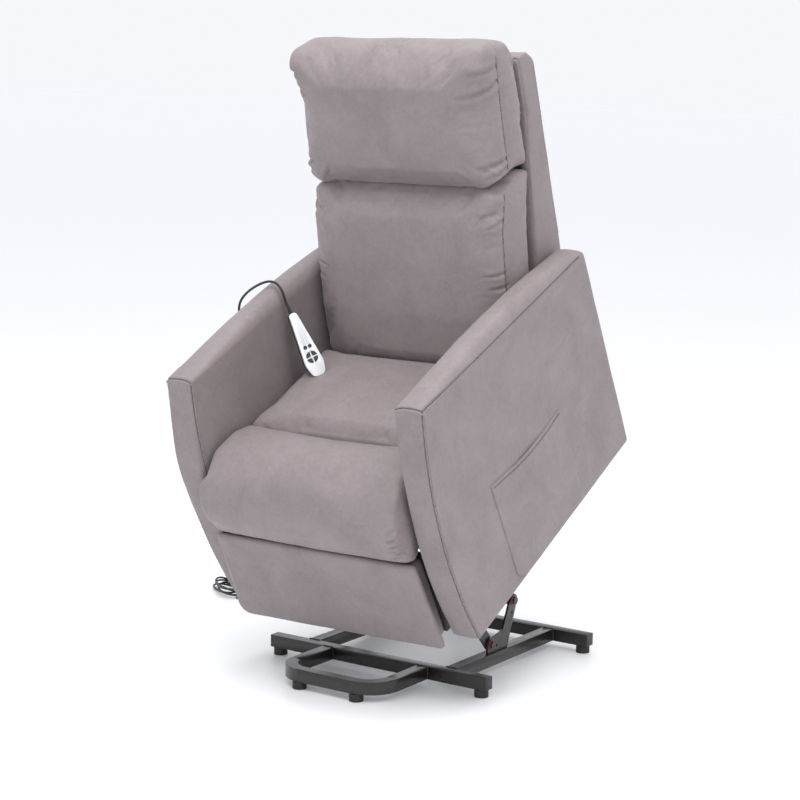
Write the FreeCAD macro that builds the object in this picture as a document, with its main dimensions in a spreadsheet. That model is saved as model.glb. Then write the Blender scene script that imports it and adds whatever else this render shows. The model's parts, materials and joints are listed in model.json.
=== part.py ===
"""Lift recliner chair: a steel base, a pair of lift linkages, and an upholstered chair on top.

The frame: +Z is up, +X is the sitter's left, -Y is the way the sitter faces. The origin is on the
floor under the middle of the chair. The chair is made in its raised pose, tipped forward. Every
piece of the upholstered chair is drawn in the chair's own level frame, whose origin is the lower
rear corner of the side panels, and is then placed by CHAIR.
"""
import FreeCAD, Part
import math
import os
import Sketcher

V = FreeCAD.Vector
Place = FreeCAD.Placement
doc = FreeCAD.newDocument("LiftReclinerChair")
sheet = doc.addObject("Spreadsheet::Sheet", "sizes")
nodes = []


# ---------------------------------------------------------------- sizes and the sheet
class Size:
    """A number together with the sheet expression that gives it."""

    def __init__(self, number, text=None):
        self.number = float(number)
        self.text = text if text else "%.9g" % self.number

    def __float__(self):
        return self.number

    def _join(self, sign, other, number):
        return Size(number, "(%s %s %s)" % (self.text, sign, size_of(other).text))

    def __add__(self, other):
        return self._join("+", other, self.number + float(other))

    def __radd__(self, other):
        return size_of(other) + self

    def __sub__(self, other):
        return self._join("-", other, self.number - float(other))

    def __rsub__(self, other):
        return size_of(other) - self

    def __mul__(self, other):
        return self._join("*", other, self.number * float(other))

    def __rmul__(self, other):
        return self * other

    def __truediv__(self, other):
        return self._join("/", other, self.number / float(other))

    def __neg__(self):
        return Size(-self.number, "(0 - %s)" % self.text)


def size_of(value):
    return value if isinstance(value, Size) else Size(value)


row_count = 0


def size(name, number, note=""):
    """Write one driving dimension into the sheet and return it as a Size."""
    global row_count
    row_count += 1
    sheet.set("A%d" % row_count, name)
    sheet.set("B%d" % row_count, str(number))
    sheet.set("C%d" % row_count, note)
    sheet.setAlias("B%d" % row_count, name)
    return Size(number, "sizes." + name)


# overall
chair_width = size("chair_width", 700, "over the arms")
arm_width = size("arm_width", 74, "each arm")
side_bay = size("side_bay", 51, "between an arm and the steel side plate")
seat_gap = size("seat_gap", 14, "between an arm and the cushions")
raised_tilt = size("raised_tilt", 28.5, "degrees, nose down, when raised")
corner_back = size("corner_back", 448.5, "lower rear corner of the side panels when raised, y")
corner_up = size("corner_up", 518, "the same corner, z")
# base frame
bar_side = size("bar_side", 30, "square tube of the base")
bar_wall = size("bar_wall", 2)
foot_height = size("foot_height", 18)
foot_radius = size("foot_radius", 16.5)
front_bar_y = size("front_bar_y", -101.5, "middle of the front crossbar")
rear_bar_y = size("rear_bar_y", 356.5, "middle of the rear crossbar")
bar_overhang = size("bar_overhang", 108, "crossbar past the middle of a rail")
foot_inset = size("foot_inset", 17, "foot's middle from the crossbar's end")
loop_half_width = size("loop_half_width", 150, "front loop, outside")
loop_front_y = size("loop_front_y", -313.5, "front loop's outer face")
loop_bend = size("loop_bend", 78, "front loop's outer bend radius")
loop_foot_x = size("loop_foot_x", 80)
cap_flange = size("cap_flange", 2.5, "plastic cap past the tube's end")
# lift linkage
plate_wall = size("plate_wall", 3, "steel side plate of the chair")
bracket_wall = size("bracket_wall", 5)
bracket_gap = size("bracket_gap", 17, "between a lift bracket and the chair's side plate")
link_wall = size("link_wall", 5)
link_gap = size("link_gap", 1.5)
link_half = size("link_half", 15, "half the width of a lift link")
pin_radius = size("pin_radius", 6)
running = size("running", 0.05, "radial clearance of a pin in its hole")
lobe_radius = size("lobe_radius", 16, "bracket round its pivots")
upper_pivot_y = size("upper_pivot_y", 164.8, "upper pivot on the bracket")
upper_pivot_z = size("upper_pivot_z", 156.4)
lower_pivot_y = size("lower_pivot_y", 70, "lower pivot on the bracket")
lower_pivot_z = size("lower_pivot_z", 68.9)
upper_pin_y = size("upper_pin_y", -557.2, "upper link's pin on the chair")
upper_pin_z = size("upper_pin_z", 117.8)
lower_pin_y = size("lower_pin_y", -617.9, "lower link's pin on the chair")
lower_pin_z = size("lower_pin_z", 82.6)
open_slack = size("open_slack", 3.4, "clearance of the upper links' pin on the chair")
# side panels and arms
panel_depth = size("panel_depth", 744, "along the lower edge")
arm_front_y = size("arm_front_y", -698)
arm_height = size("arm_height", 598, "at the front")
arm_crown = size("arm_crown", 2493, "radius of the crowned top")
arm_back_y = size("arm_back_y", 18)
arm_back_height = size("arm_back_height", 541)
arm_front_bow = size("arm_front_bow", 1053, "radius of the front edge")
arm_corner = size("arm_corner", 26, "radius of the top rear corner")
arm_round = size("arm_round", 20, "radius along the top")
pocket_depth = size("pocket_depth", 3, "pocket panel's thickness")
pocket_front_y = size("pocket_front_y", -556)
pocket_back_y = size("pocket_back_y", -239)
pocket_top = size("pocket_top", 288)
pocket_low = size("pocket_low", 6)
# seat
rail_top = size("rail_top", 248, "top of the wooden seat frame")
rail_height = size("rail_height", 20)
rail_width = size("rail_width", 31)
shelf_front_y = size("shelf_front_y", -700, "front edge of the board under the roll")
shelf_back_y = size("shelf_back_y", -550)
rear_rail_front = size("rear_rail_front", -250)
rear_rail_back = size("rear_rail_back", -215)
strap_width = size("strap_width", 50)
strap_wall = size("strap_wall", 2.5)
soft_gap = size("soft_gap", 0.5, "between a soft piece and its neighbour")
seat_top = size("seat_top", 396)
seat_back_y = size("seat_back_y", -268)
roll_back_y = size("roll_back_y", -585)
# footrest
board_back_y = size("board_back_y", -714)
board_wall = size("board_wall", 15)
board_low = size("board_low", -5)
board_top = size("board_top", 211)
board_half = size("board_half", 252)
pad_front_y = size("pad_front_y", -784)
pad_flap = size("pad_flap", 16, "thickness of the flap in front of the right arm")
pad_flap_x = size("pad_flap_x", 300, "reach of the flap")
pad_inset = size("pad_inset", 14, "the pad's filling inside its front flap")
pad_low = size("pad_low", -30)
pad_top = size("pad_top", 214)
pad_corner = size("pad_corner", 45, "radius of the panel's lower corners")
foot_link_wall = size("foot_link_wall", 4)
foot_link_half = size("foot_link_half", 11)
foot_link_gap = size("foot_link_gap", 2)
foot_pin = size("foot_pin", 5)
drive_pivot_y = size("drive_pivot_y", -600, "footrest drive tube")
drive_pivot_z = size("drive_pivot_z", 200)
drive_tube = size("drive_tube", 12, "its radius")
arm_link_length = size("arm_link_length", 190, "both long footrest links")
knee_y = size("knee_y", -450.82, "middle footrest joint")
knee_z = size("knee_z", 82.33)
board_pin_y = size("board_pin_y", -640)
board_pin_z = size("board_pin_z", 100)
guide_pin_y = size("guide_pin_y", -557.9, "guide link's pivot on the chair")
guide_pin_z = size("guide_pin_z", 216)
guide_length = size("guide_length", 178.8)
tail_y = size("tail_y", -407.1, "guide link's pin on the long link")
tail_z = size("tail_z", 118.5)
tail_slack = size("tail_slack", 4.4, "clearance of the guide link's pin")
# back
back_pivot_y = size("back_pivot_y", -75)
back_pivot_z = size("back_pivot_z", 300)
back_tube = size("back_tube", 10, "radius of the back's pivot tube")
frame_lean = size("frame_lean", 18.6, "degrees")
upright_side = size("upright_side", 25)
upright_top = size("upright_top", 560)
upright_front = size("upright_front", -56, "front face, in the back's leaning frame")
shell_wall = size("shell_wall", 12)
# drives
front_tube_y = size("front_tube_y", -440)
front_tube_z = size("front_tube_z", 190)
rear_tube_y = size("rear_tube_y", -20)
rear_tube_z = size("rear_tube_z", 110)
cross_tube = size("cross_tube", 12.5, "radius of the cross tubes")
rod_radius = size("rod_radius", 9)
drive_side = size("drive_side", 60, "drive housing, square")
drive_offset = size("drive_offset", 90, "drives' middles from the centre line")
foot_crank = size("foot_crank", 45)
back_crank = size("back_crank", 85)
lift_motor_y = size("lift_motor_y", 356.5, "lift drive's pivot on the base")
lift_motor_z = size("lift_motor_z", 75)
lift_eye_y = size("lift_eye_y", -480, "lift drive's pivot on the chair")
lift_eye_z = size("lift_eye_z", 140)
rod_eye_y = size("rod_eye_y", -474.9, "middle of the lift rod's eye, on the raised chair")
rod_eye_z = size("rod_eye_z", 142.1)
rod_eye_slack = size("rod_eye_slack", 5.9, "clearance of the chair's pin in the lift rod's eye")
# handset and cords
handset_length = size("handset_length", 158)
handset_thick = size("handset_thick", 20)
handset_front = size("handset_front", 9, "thickness of the front half")
button_travel = size("button_travel", 1)
button_gap = size("button_gap", 0.3)
handset_cord_radius = size("handset_cord_radius", 3)
mains_cord_radius = size("mains_cord_radius", 2.75)

# places across the chair, from the middle outwards
inner_half = chair_width / 2 - arm_width
plate_outer = inner_half - side_bay
plate_inner = plate_outer - plate_wall
bracket_outer = plate_inner - bracket_gap
bracket_inner = bracket_outer - bracket_wall
link_outer = bracket_inner - link_gap
link_inner = link_outer - link_wall
rail_x = bracket_outer - 8
bar_end = rail_x + bar_overhang
bar_half = bar_side / 2
bar_top = foot_height + bar_side
seat_half = inner_half - seat_gap
plane_a = plate_outer + foot_link_gap
plane_c = plane_a + foot_link_wall + foot_link_gap
plane_b = plane_c + foot_link_wall + foot_link_gap
plane_end = plane_b + foot_link_wall
strap_top = rail_top + strap_wall

doc.recompute()


# ---------------------------------------------------------------- how the pieces are made
def bind(thing, prop, value):
    """Tie one property to the sheet when the value comes from it."""
    value = size_of(value)
    thing.setExpression(prop, value.text)


TURN = {
    "x": FreeCAD.Rotation(V(0, 0, 1), V(1, 0, 0)),
    "y": FreeCAD.Rotation(V(0, 0, 1), V(0, 1, 0)),
    "z": FreeCAD.Rotation(),
}
PLANE = {"xy": "XY_Plane", "yz": "YZ_Plane"}
X_AXIS = V(1, 0, 0)


def about_x(degrees):
    return FreeCAD.Rotation(X_AXIS, float(degrees))


def both(side, low, high):
    """A span across the chair, on the +X side or mirrored to the -X side."""
    return (low, high) if side > 0 else (-high, -low)


class Piece:
    """One sub-part: a PartDesign body of primitives, padded sketches and fillets."""

    def __init__(self, label, place=Place()):
        self.body = doc.addObject("PartDesign::Body", label)
        self.body.Label = label
        self.body.AllowCompound = True
        self.body.Placement = place
        self.count = 0
        nodes.append(self.body)

    def _feature(self, kind):
        self.count += 1
        name = "%s_%s_%d" % (self.body.Name, kind.split("::")[-1], self.count)
        return self.body.newObject(kind, name)

    def _primitive(self, shape, cut, at, turn, **lengths):
        feature = self._feature("PartDesign::" + ("Subtractive" if cut else "Additive") + shape)
        for prop, value in lengths.items():
            bind(feature, prop, value)
        feature.Placement = Place(V(*[float(a) for a in at]), turn)
        for axis, value in zip("xyz", at):
            bind(feature, "Placement.Base." + axis, value)
        return feature

    def box(self, x, y, z, cut=False):
        """A box between two places along each axis."""
        self._primitive("Box", cut, (x[0], y[0], z[0]), TURN["z"],
                        Length=x[1] - x[0], Width=y[1] - y[0], Height=z[1] - z[0])

    def turned_box(self, corner, turn, length, width, height, cut=False):
        self._primitive("Box", cut, corner, turn, Length=length, Width=width, Height=height)

    def rod(self, axis, start, length, radius, cut=False, angle=360, spin=0):
        turn = TURN[axis] * FreeCAD.Rotation(V(0, 0, 1), spin)
        self._primitive("Cylinder", cut, start, turn, Height=length, Radius=radius, Angle=angle)

    def across(self, span, y, z, radius, cut=False):
        """A round bar or hole along X over the given span."""
        self.rod("x", (span[0], y, z), span[1] - span[0], radius, cut)

    def plate(self, plane, corners, start, thickness, cut=False):
        """Pad or pocket a closed outline. A corner is (u, v) or (u, v, radius of the edge to the
        next corner), whose bow is to the right of the edge for a positive radius."""
        sketch = self._feature("Sketcher::SketchObject")
        origin = self.body.Origin.OriginFeatures
        support = [f for f in origin if f.Role == PLANE[plane]][0]
        sketch.AttachmentSupport = [(support, "")]
        sketch.MapMode = "FlatFace"
        bind(sketch, "AttachmentOffset.Base.z", start)
        ends = [V(float(c[0]), float(c[1]), 0) for c in corners]
        total = len(ends)
        for k in range(total):
            first, last = ends[k], ends[(k + 1) % total]
            if len(corners[k]) > 2:
                sketch.addGeometry(bowed(first, last, float(corners[k][2])))
            else:
                sketch.addGeometry(Part.LineSegment(first, last))
        for k in range(total):
            here = near_end(sketch, k, ends[k])
            before = near_end(sketch, k - 1 if k else total - 1, ends[k])
            sketch.addConstraint(Sketcher.Constraint("Coincident", *before, *here))
            for word, value in zip(("DistanceX", "DistanceY"), corners[k]):
                number = sketch.addConstraint(
                    Sketcher.Constraint(word, -1, 1, *here, float(value)))
                bind(sketch, "Constraints[%d]" % number, value)
            if len(corners[k]) > 2:
                radius = size_of(corners[k][2])
                radius = radius if float(radius) > 0 else -radius
                number = sketch.addConstraint(Sketcher.Constraint("Radius", k, float(radius)))
                bind(sketch, "Constraints[%d]" % number, radius)
        pad = self._feature("PartDesign::Pocket" if cut else "PartDesign::Pad")
        pad.Profile = sketch
        bind(pad, "Length", thickness)
        pad.Reversed = cut
        return pad

    def soften(self, radius, wanted):
        """Fillet the edges whose middle point and direction the test accepts."""
        doc.recompute()
        tip = self.body.Tip
        names = []
        for k, edge in enumerate(tip.Shape.Edges):
            low, high = edge.ParameterRange
            middle = edge.valueAt((low + high) / 2)
            if wanted(middle, edge.tangentAt((low + high) / 2)):
                names.append("Edge%d" % (k + 1))
        fillet = self._feature("PartDesign::Fillet")
        fillet.Base = (tip, names)
        bind(fillet, "Radius", radius)


def bowed(first, last, radius):
    """An arc between two points, bowed to the right of the way from first to last."""
    along = last - first
    half = along.Length / 2
    rise = abs(radius) - math.sqrt(radius * radius - half * half)
    side = V(along.y, -along.x, 0).normalize() * math.copysign(rise, radius)
    return Part.Arc(first, (first + last) * 0.5 + side, last)


def near_end(sketch, number, point):
    """The end of one sketch edge that lies at the given point."""
    gaps = [(sketch.getPoint(number, end) - point).Length for end in (1, 2)]
    return (number, 1 if gaps[0] < gaps[1] else 2)


# ---------------------------------------------------------------- frames
CHAIR = Place(V(0, float(corner_back), float(corner_up)), about_x(raised_tilt))


def direction(from_y, from_z, to_y, to_z):
    """Length and angle, in degrees from +Y towards +Z, of one point from another."""
    away_y = float(to_y) - float(from_y)
    away_z = float(to_z) - float(from_z)
    return math.hypot(away_y, away_z), math.degrees(math.atan2(away_z, away_y))


def lying_along(frame, from_y, from_z, to_y, to_z):
    """The frame of a bar that starts at one point and runs along its own +Y to the other."""
    length, angle = direction(from_y, from_z, to_y, to_z)
    return length, frame * Place(V(0, float(from_y), float(from_z)), about_x(angle))


def on_floor(y, z):
    """A point of the raised chair, given in the room's frame."""
    spot = CHAIR.multVec(V(0, float(y), float(z)))
    return spot.y, spot.z


# ---------------------------------------------------------------- base
def square_bar(piece, x, y, z, hollow):
    """A square tube: outer box less the bore along the named axis."""
    piece.box(x, y, z)
    spans = {"x": x, "y": y, "z": z}
    for name, span in spans.items():
        if name != hollow:
            spans[name] = (span[0] + bar_wall, span[1] - bar_wall)
    piece.box(spans["x"], spans["y"], spans["z"], cut=True)


tube_z = (foot_height, bar_top)
for label, middle in (("front_crossbar", front_bar_y), ("rear_crossbar", rear_bar_y)):
    bar = Piece(label)
    square_bar(bar, (-bar_end, bar_end), (middle - bar_half, middle + bar_half), tube_z, "x")

for side, label in ((1, "left_rail"), (-1, "right_rail")):
    rail = Piece(label)
    across = both(side, rail_x - bar_half, rail_x + bar_half)
    square_bar(rail, across, (front_bar_y + bar_half, rear_bar_y - bar_half), tube_z, "y")

loop = Piece("front_loop")
leg_start = front_bar_y - bar_half
inner_bend = loop_bend - bar_side
outer_x = loop_half_width
inner_x = loop_half_width - bar_side
bend_x = loop_half_width - loop_bend
bend_y = loop_front_y + loop_bend
loop_outline = [
    (-outer_x, leg_start), (-outer_x, bend_y, loop_bend), (-bend_x, loop_front_y),
    (bend_x, loop_front_y, loop_bend), (outer_x, bend_y), (outer_x, leg_start),
    (inner_x, leg_start), (inner_x, bend_y, -inner_bend), (bend_x, loop_front_y + bar_side),
    (-bend_x, loop_front_y + bar_side, -inner_bend), (-inner_x, bend_y), (-inner_x, leg_start),
]
loop.plate("xy", loop_outline, foot_height, bar_side)

foot_x = bar_end - foot_inset
foot_places = [(foot_x, front_bar_y), (-foot_x, front_bar_y), (foot_x, rear_bar_y), (-foot_x, rear_bar_y),
               (loop_foot_x, loop_front_y + bar_half), (-loop_foot_x, loop_front_y + bar_half)]
feet = Piece("base_feet")
for x, y in foot_places:
    feet.rod("z", (x, y, 0), foot_height, foot_radius)

caps = Piece("bar_end_caps")
for side in (1, -1):
    for middle in (front_bar_y, rear_bar_y):
        y = (middle - bar_half, middle + bar_half)
        caps.box(both(side, bar_end, bar_end + cap_flange), y, tube_z)
        plug_y = (middle - bar_half + bar_wall, middle + bar_half - bar_wall)
        plug_z = (foot_height + bar_wall, bar_top - bar_wall)
        caps.box(both(side, bar_end - 12, bar_end), plug_y, plug_z)

small_hole = size("small_hole", 3, "radius of the spare holes in a bracket")
for side, label in ((1, "left_lift_bracket"), (-1, "right_lift_bracket")):
    bracket = Piece(label)
    start, stop = both(side, bracket_inner, bracket_outer)
    outline = [
        (lower_pivot_y - lobe_radius, bar_top), (lower_pivot_y + 70, bar_top),
        (upper_pivot_y + lobe_radius, upper_pivot_z - 4),
        (upper_pivot_y - lobe_radius, upper_pivot_z + 2),
        (upper_pivot_y - 45, upper_pivot_z - 62), (lower_pivot_y + 18, lower_pivot_z + 17),
        (lower_pivot_y, lower_pivot_z + lobe_radius), (lower_pivot_y - lobe_radius, lower_pivot_z),
    ]
    pivots = ((upper_pivot_y, upper_pivot_z), (lower_pivot_y, lower_pivot_z))
    bracket.plate("yz", outline, start, bracket_wall)
    for y, z in pivots:
        bracket.across((start, stop), y, z, lobe_radius)
    for y, z in ((upper_pivot_y - 7, upper_pivot_z - 28), (lower_pivot_y + 23, lower_pivot_z - 7)):
        bracket.across((start - 1, stop + 1), y, z, small_hole, cut=True)
    for y, z in pivots:
        bracket.across((start - 1, stop + 1), y, z, pin_radius, cut=True)

bush_radius = size("bush_radius", 12)
bush_wall = size("bush_wall", 2)
bolt_head = size("bolt_head", 9, "radius of a pivot bolt's head")
bolt_head_height = size("bolt_head_height", 5)
bushes = Piece("pivot_bushes")
bolts = Piece("lift_pivot_bolts")
for side in (1, -1):
    for y, z in pivots:
        bush_end = bracket_outer + bush_wall
        bushes.across(both(side, bracket_outer, bush_end), y, z, bush_radius)
        bushes.across(both(side, bracket_outer - 1, bush_end + 1), y, z, pin_radius, cut=True)
        bolts.across(both(side, link_inner - 2, bush_end), y, z, pin_radius)
        bolts.across(both(side, bush_end, bush_end + bolt_head_height), y, z, bolt_head)

motor_bracket = Piece("lift_motor_bracket")
eye_gap = size("eye_gap", 13, "half the gap between the ears of a drive's bracket")
ear_wall = size("ear_wall", 4)
for side in (1, -1):
    ear = both(side, eye_gap, eye_gap + ear_wall)
    motor_bracket.box(ear, (lift_motor_y - 14, lift_motor_y + 14), (bar_top, lift_motor_z))
    motor_bracket.across(ear, lift_motor_y, lift_motor_z, 14)
motor_bracket.across((-eye_gap - ear_wall, eye_gap + ear_wall), lift_motor_y, lift_motor_z, pin_radius)

supply_width = size("supply_width", 45)
supply_front_y = size("supply_front_y", 181.5)
supply_back_y = size("supply_back_y", 321.5)
inlet_y = size("inlet_y", 251.5)
inlet_z = size("inlet_z", 33)
supply_side = -(rail_x + bar_half + supply_width)
supply = Piece("power_supply")
supply.box((supply_side, -(rail_x + bar_half)), (supply_front_y, supply_back_y), tube_z)
supply.soften(4, lambda p, t: abs(t.y) < 0.5 and abs(p.x - float(supply_side)) < 1)
gland = Piece("cord_gland")
gland.rod("x", (supply_side - 24, inlet_y, inlet_z), 24, 4.5)
gland.rod("x", (supply_side - 6, inlet_y, inlet_z), 6, 7)

# ---------------------------------------------------------------- lift links
lower_end_y, lower_end_z = on_floor(lower_pin_y, lower_pin_z)
upper_end_y, upper_end_z = on_floor(upper_pin_y, upper_pin_z)


def link_bar(piece, side, span, length, half, near_hole, far_hole):
    """A flat link along the piece's own +Y with round ends and a hole at each end."""
    start, stop = both(side, *span)
    piece.box((start, stop), (0, length), (-half, half))
    piece.across((start, stop), 0, 0, half)
    piece.across((start, stop), length, 0, half)
    piece.across((start - 1, stop + 1), 0, 0, near_hole, cut=True)
    piece.across((start - 1, stop + 1), length, 0, far_hole, cut=True)


length, place = lying_along(Place(), lower_pivot_y, lower_pivot_z, lower_end_y, lower_end_z)
lower_links = Piece("lower_lift_links", place)
lower_links.across((-link_inner, link_inner), length / 2, 0, 12)
for side in (1, -1):
    link_bar(lower_links, side, (link_inner, link_outer), length, link_half,
             pin_radius + running, pin_radius + running)

length, place = lying_along(Place(), upper_pivot_y, upper_pivot_z, upper_end_y, upper_end_z)
upper_links = Piece("upper_lift_links", place)
for side in (1, -1):
    link_bar(upper_links, side, (link_inner, link_outer), length, link_half,
             pin_radius + running, pin_radius + open_slack)

# ---------------------------------------------------------------- chair chassis
for side, label in ((1, "left_side_plate"), (-1, "right_side_plate")):
    plate = Piece(label, CHAIR)
    start, stop = both(side, plate_inner, plate_outer)
    rail_low = rail_top - rail_height
    outline = [
        (lower_pin_y - 30, lower_pin_z - 22), (lower_pin_y + 25, lower_pin_z - 28),
        (rear_tube_y - 40, rear_tube_z - 24), (rear_tube_y + 20, rear_tube_z - 18),
        (rear_tube_y + 20, rear_tube_z + 24), (back_pivot_y + 20, rear_tube_z + 70),
        (back_pivot_y + 20, back_pivot_z), (back_pivot_y - 20, back_pivot_z),
        (back_pivot_y - 55, rail_low), (shelf_front_y, rail_low),
        (shelf_front_y, rail_low - 25), (lower_pin_y - 30, rail_low - 62),
    ]
    plate.plate("yz", outline, start, plate_wall)
    plate.across((start, stop), back_pivot_y, back_pivot_z, 20)
    holes = [(drive_pivot_y, drive_pivot_z, drive_tube), (back_pivot_y, back_pivot_z, back_tube),
             (front_tube_y, front_tube_z, cross_tube), (rear_tube_y, rear_tube_z, cross_tube)]
    for y, z, radius in holes:
        plate.across((start - 1, stop + 1), y, z, radius + running, cut=True)
    for y, z in ((upper_pin_y, upper_pin_z), (lower_pin_y, lower_pin_z)):
        plate.across(both(side, link_inner - 2, plate_inner), y, z, pin_radius)
    plate.across(both(side, plate_outer, plane_end + 1), guide_pin_y, guide_pin_z, foot_pin)

full_width = (-inner_half, inner_half)
past_width = (-inner_half - 1, inner_half + 1)
tube_bore = cross_tube - bar_wall
tubes = Piece("front_cross_tube", CHAIR)
tubes.across(full_width, front_tube_y, front_tube_z, cross_tube)
tubes.across(past_width, front_tube_y, front_tube_z, tube_bore, cut=True)
for side in (1, -1):
    ear = both(side, eye_gap, eye_gap + ear_wall)
    tubes.plate("yz", [(front_tube_y + 10, front_tube_z), (front_tube_y - 10, front_tube_z + 6),
                       (lift_eye_y - 14, lift_eye_z + 4), (lift_eye_y + 8, lift_eye_z - 12)],
                ear[0], ear_wall)
    tubes.across(ear, lift_eye_y, lift_eye_z, 14)
tubes.across((-eye_gap - ear_wall, eye_gap + ear_wall), lift_eye_y, lift_eye_z, pin_radius)
tube = Piece("rear_cross_tube", CHAIR)
tube.across(full_width, rear_tube_y, rear_tube_z, cross_tube)
tube.across(past_width, rear_tube_y, rear_tube_z, tube_bore, cut=True)

rail_low = rail_top - rail_height
frame = Piece("seat_frame", CHAIR)
frame.box((-seat_half, seat_half), (shelf_front_y, shelf_back_y), (rail_low, rail_top))
rail_outer = plate_outer + 11
for side in (1, -1):
    frame.box(both(side, rail_outer - rail_width, rail_outer), (shelf_back_y, rear_rail_front),
              (rail_low, rail_top))
frame.box((-rail_outer, rail_outer), (rear_rail_front, rear_rail_back), (rail_low, rail_top))

STRAPS = 5
strap_pitch = size("strap_pitch", 82)
webbing = Piece("seat_webbing", CHAIR)
for k in range(STRAPS):
    middle = strap_pitch * (k - (STRAPS - 1) / 2)
    webbing.box((middle - strap_width / 2, middle + strap_width / 2),
                (shelf_back_y - 25, rear_rail_back), (rail_top, strap_top))

seat = Piece("seat_cushion", CHAIR)
seat.box((-seat_half, seat_half), (roll_back_y + soft_gap, seat_back_y), (strap_top, seat_top))
seat.soften(20, lambda p, t: p.z > float(seat_top) - 1 and abs(t.y) > 0.9)

roll = Piece("seat_front_roll", CHAIR)
roll_outline = [
    (roll_back_y, strap_top + soft_gap), (shelf_front_y - 12, strap_top + soft_gap),
    (-760, 225), (-788, 240), (-804, 278), (-805, 330),
    (-776, 388), (-716, 423), (-640, 420), (roll_back_y, seat_top),
]
roll.plate("yz", roll_outline, -seat_half, seat_half * 2)


def arm(side, label):
    """One padded arm and side panel."""
    piece = Piece(label, CHAIR)
    start, stop = both(side, inner_half, chair_width / 2)
    outline = [
        (arm_front_y, arm_height, arm_front_bow), (-panel_depth, 0), (0, 0),
        (arm_back_y, arm_back_height, arm_crown),
    ]
    piece.plate("yz", outline, start, arm_width)
    rear = float(arm_back_y)
    piece.soften(arm_corner, lambda p, t: abs(t.x) > 0.9 and abs(p.y - rear) < 1 and p.z > 500)
    piece.soften(arm_round, lambda p, t: abs(t.x) < 0.1 and p.z > 535)
    return piece


left_arm = arm(1, "left_arm")
right_arm = arm(-1, "right_arm")
pocket_outline = [
    (pocket_front_y, pocket_low + 24), (pocket_front_y + 24, pocket_low), (pocket_back_y, pocket_low),
    (pocket_back_y, pocket_top - 16), (pocket_front_y, pocket_top),
]
left_arm.plate("yz", pocket_outline, chair_width / 2 - pocket_depth, pocket_depth, cut=True)
pocket = Piece("side_pocket", CHAIR)
pocket.plate("yz", pocket_outline, chair_width / 2 - pocket_depth, pocket_depth)

box_width = size("box_width", 29)
control = Piece("control_box", CHAIR)
control.box((-inner_half, -(inner_half - box_width)), (-330, -200), (60, 140))
control.soften(4, lambda p, t: abs(t.x) < 0.1 and abs(p.x + float(inner_half - box_width)) < 1)


# ---------------------------------------------------------------- drives of the back and footrest
def drive_housing(label, middle, axis_z, rear, front, lugs):
    """A square motor housing hung from the frame; each lug is a box (x, y, z)."""
    piece = Piece(label, CHAIR)
    half = drive_side / 2
    piece.box((middle - half, middle + half), (front, rear), (axis_z - half, axis_z + half))
    piece.soften(8, lambda p, t: abs(t.y) > 0.9)
    for span in lugs:
        piece.box(*span)
    return piece


def tube_lug(piece, x, reach_y, low_z, high_z):
    """A lug that holds the front cross tube."""
    y, z = front_tube_y, front_tube_z
    piece.box((x, x + 8), (y, reach_y), (low_z, high_z))
    piece.across((x, x + 8), y, z, 20)
    piece.across((x - 1, x + 9), y, z, cross_tube + running, cut=True)


foot_rod_z = size("foot_rod_z", 160)
back_rod_z = size("back_rod_z", 190)
foot_mid = drive_offset
back_mid = -drive_offset
hang = [((foot_mid - 10, foot_mid + 10), (-245, -225), (foot_rod_z + drive_side / 2, rail_low))]
housing = drive_housing("footrest_drive", foot_mid, foot_rod_z, Size(-200), Size(-410), hang)
tube_lug(housing, foot_mid + 16, Size(-400), foot_rod_z + 12, foot_rod_z + drive_side / 2)
housing.rod("y", (foot_mid, -411, foot_rod_z), 180, rod_radius + 0.5, cut=True)
hang = [((back_mid - 10, back_mid + 10), (-245, -225), (back_rod_z + drive_side / 2, rail_low))]
housing = drive_housing("back_drive", back_mid, back_rod_z, Size(-190), Size(-400), hang)
tube_lug(housing, back_mid - 4, Size(-390), back_rod_z - 18, back_rod_z + 18)
housing.rod("y", (back_mid, -395, back_rod_z), 210, rod_radius + 0.5, cut=True)

slot_slack = size("slot_slack", 3.3, "crank pin in its yoke, each way")
yoke_lead = size("yoke_lead", 2.8, "footrest yoke behind its crank pin at rest")
yoke_wall = size("yoke_wall", 6)


def yoke(label, middle, pin_y, slot_low, slot_high, top, rod_z, rod_from, rod_to):
    """A drive's rod with the upright slotted plate that a crank's pin works in."""
    piece = Piece(label, CHAIR)
    half = foot_pin + slot_slack
    low = Size(min(float(slot_low), float(rod_z)) - 10)
    plate_x = (middle - yoke_wall / 2, middle + yoke_wall / 2)
    piece.box(plate_x, (pin_y - half - 7, pin_y + half + 7), (low, top))
    piece.rod("y", (middle, rod_from, rod_z), rod_to - rod_from, rod_radius)
    slot_x = (plate_x[0] - 20, plate_x[1] + 20)
    piece.box(slot_x, (pin_y - half, pin_y + half), (slot_low, slot_high), cut=True)
    return piece


def crank_pin(pivot_y, pivot_z, radius, angle):
    """Where a crank's pin is, for the crank's angle from +Y towards +Z in degrees."""
    turn = math.radians(angle)
    reach = float(radius)
    return float(pivot_y) + reach * math.cos(turn), float(pivot_z) + reach * math.sin(turn)


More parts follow.
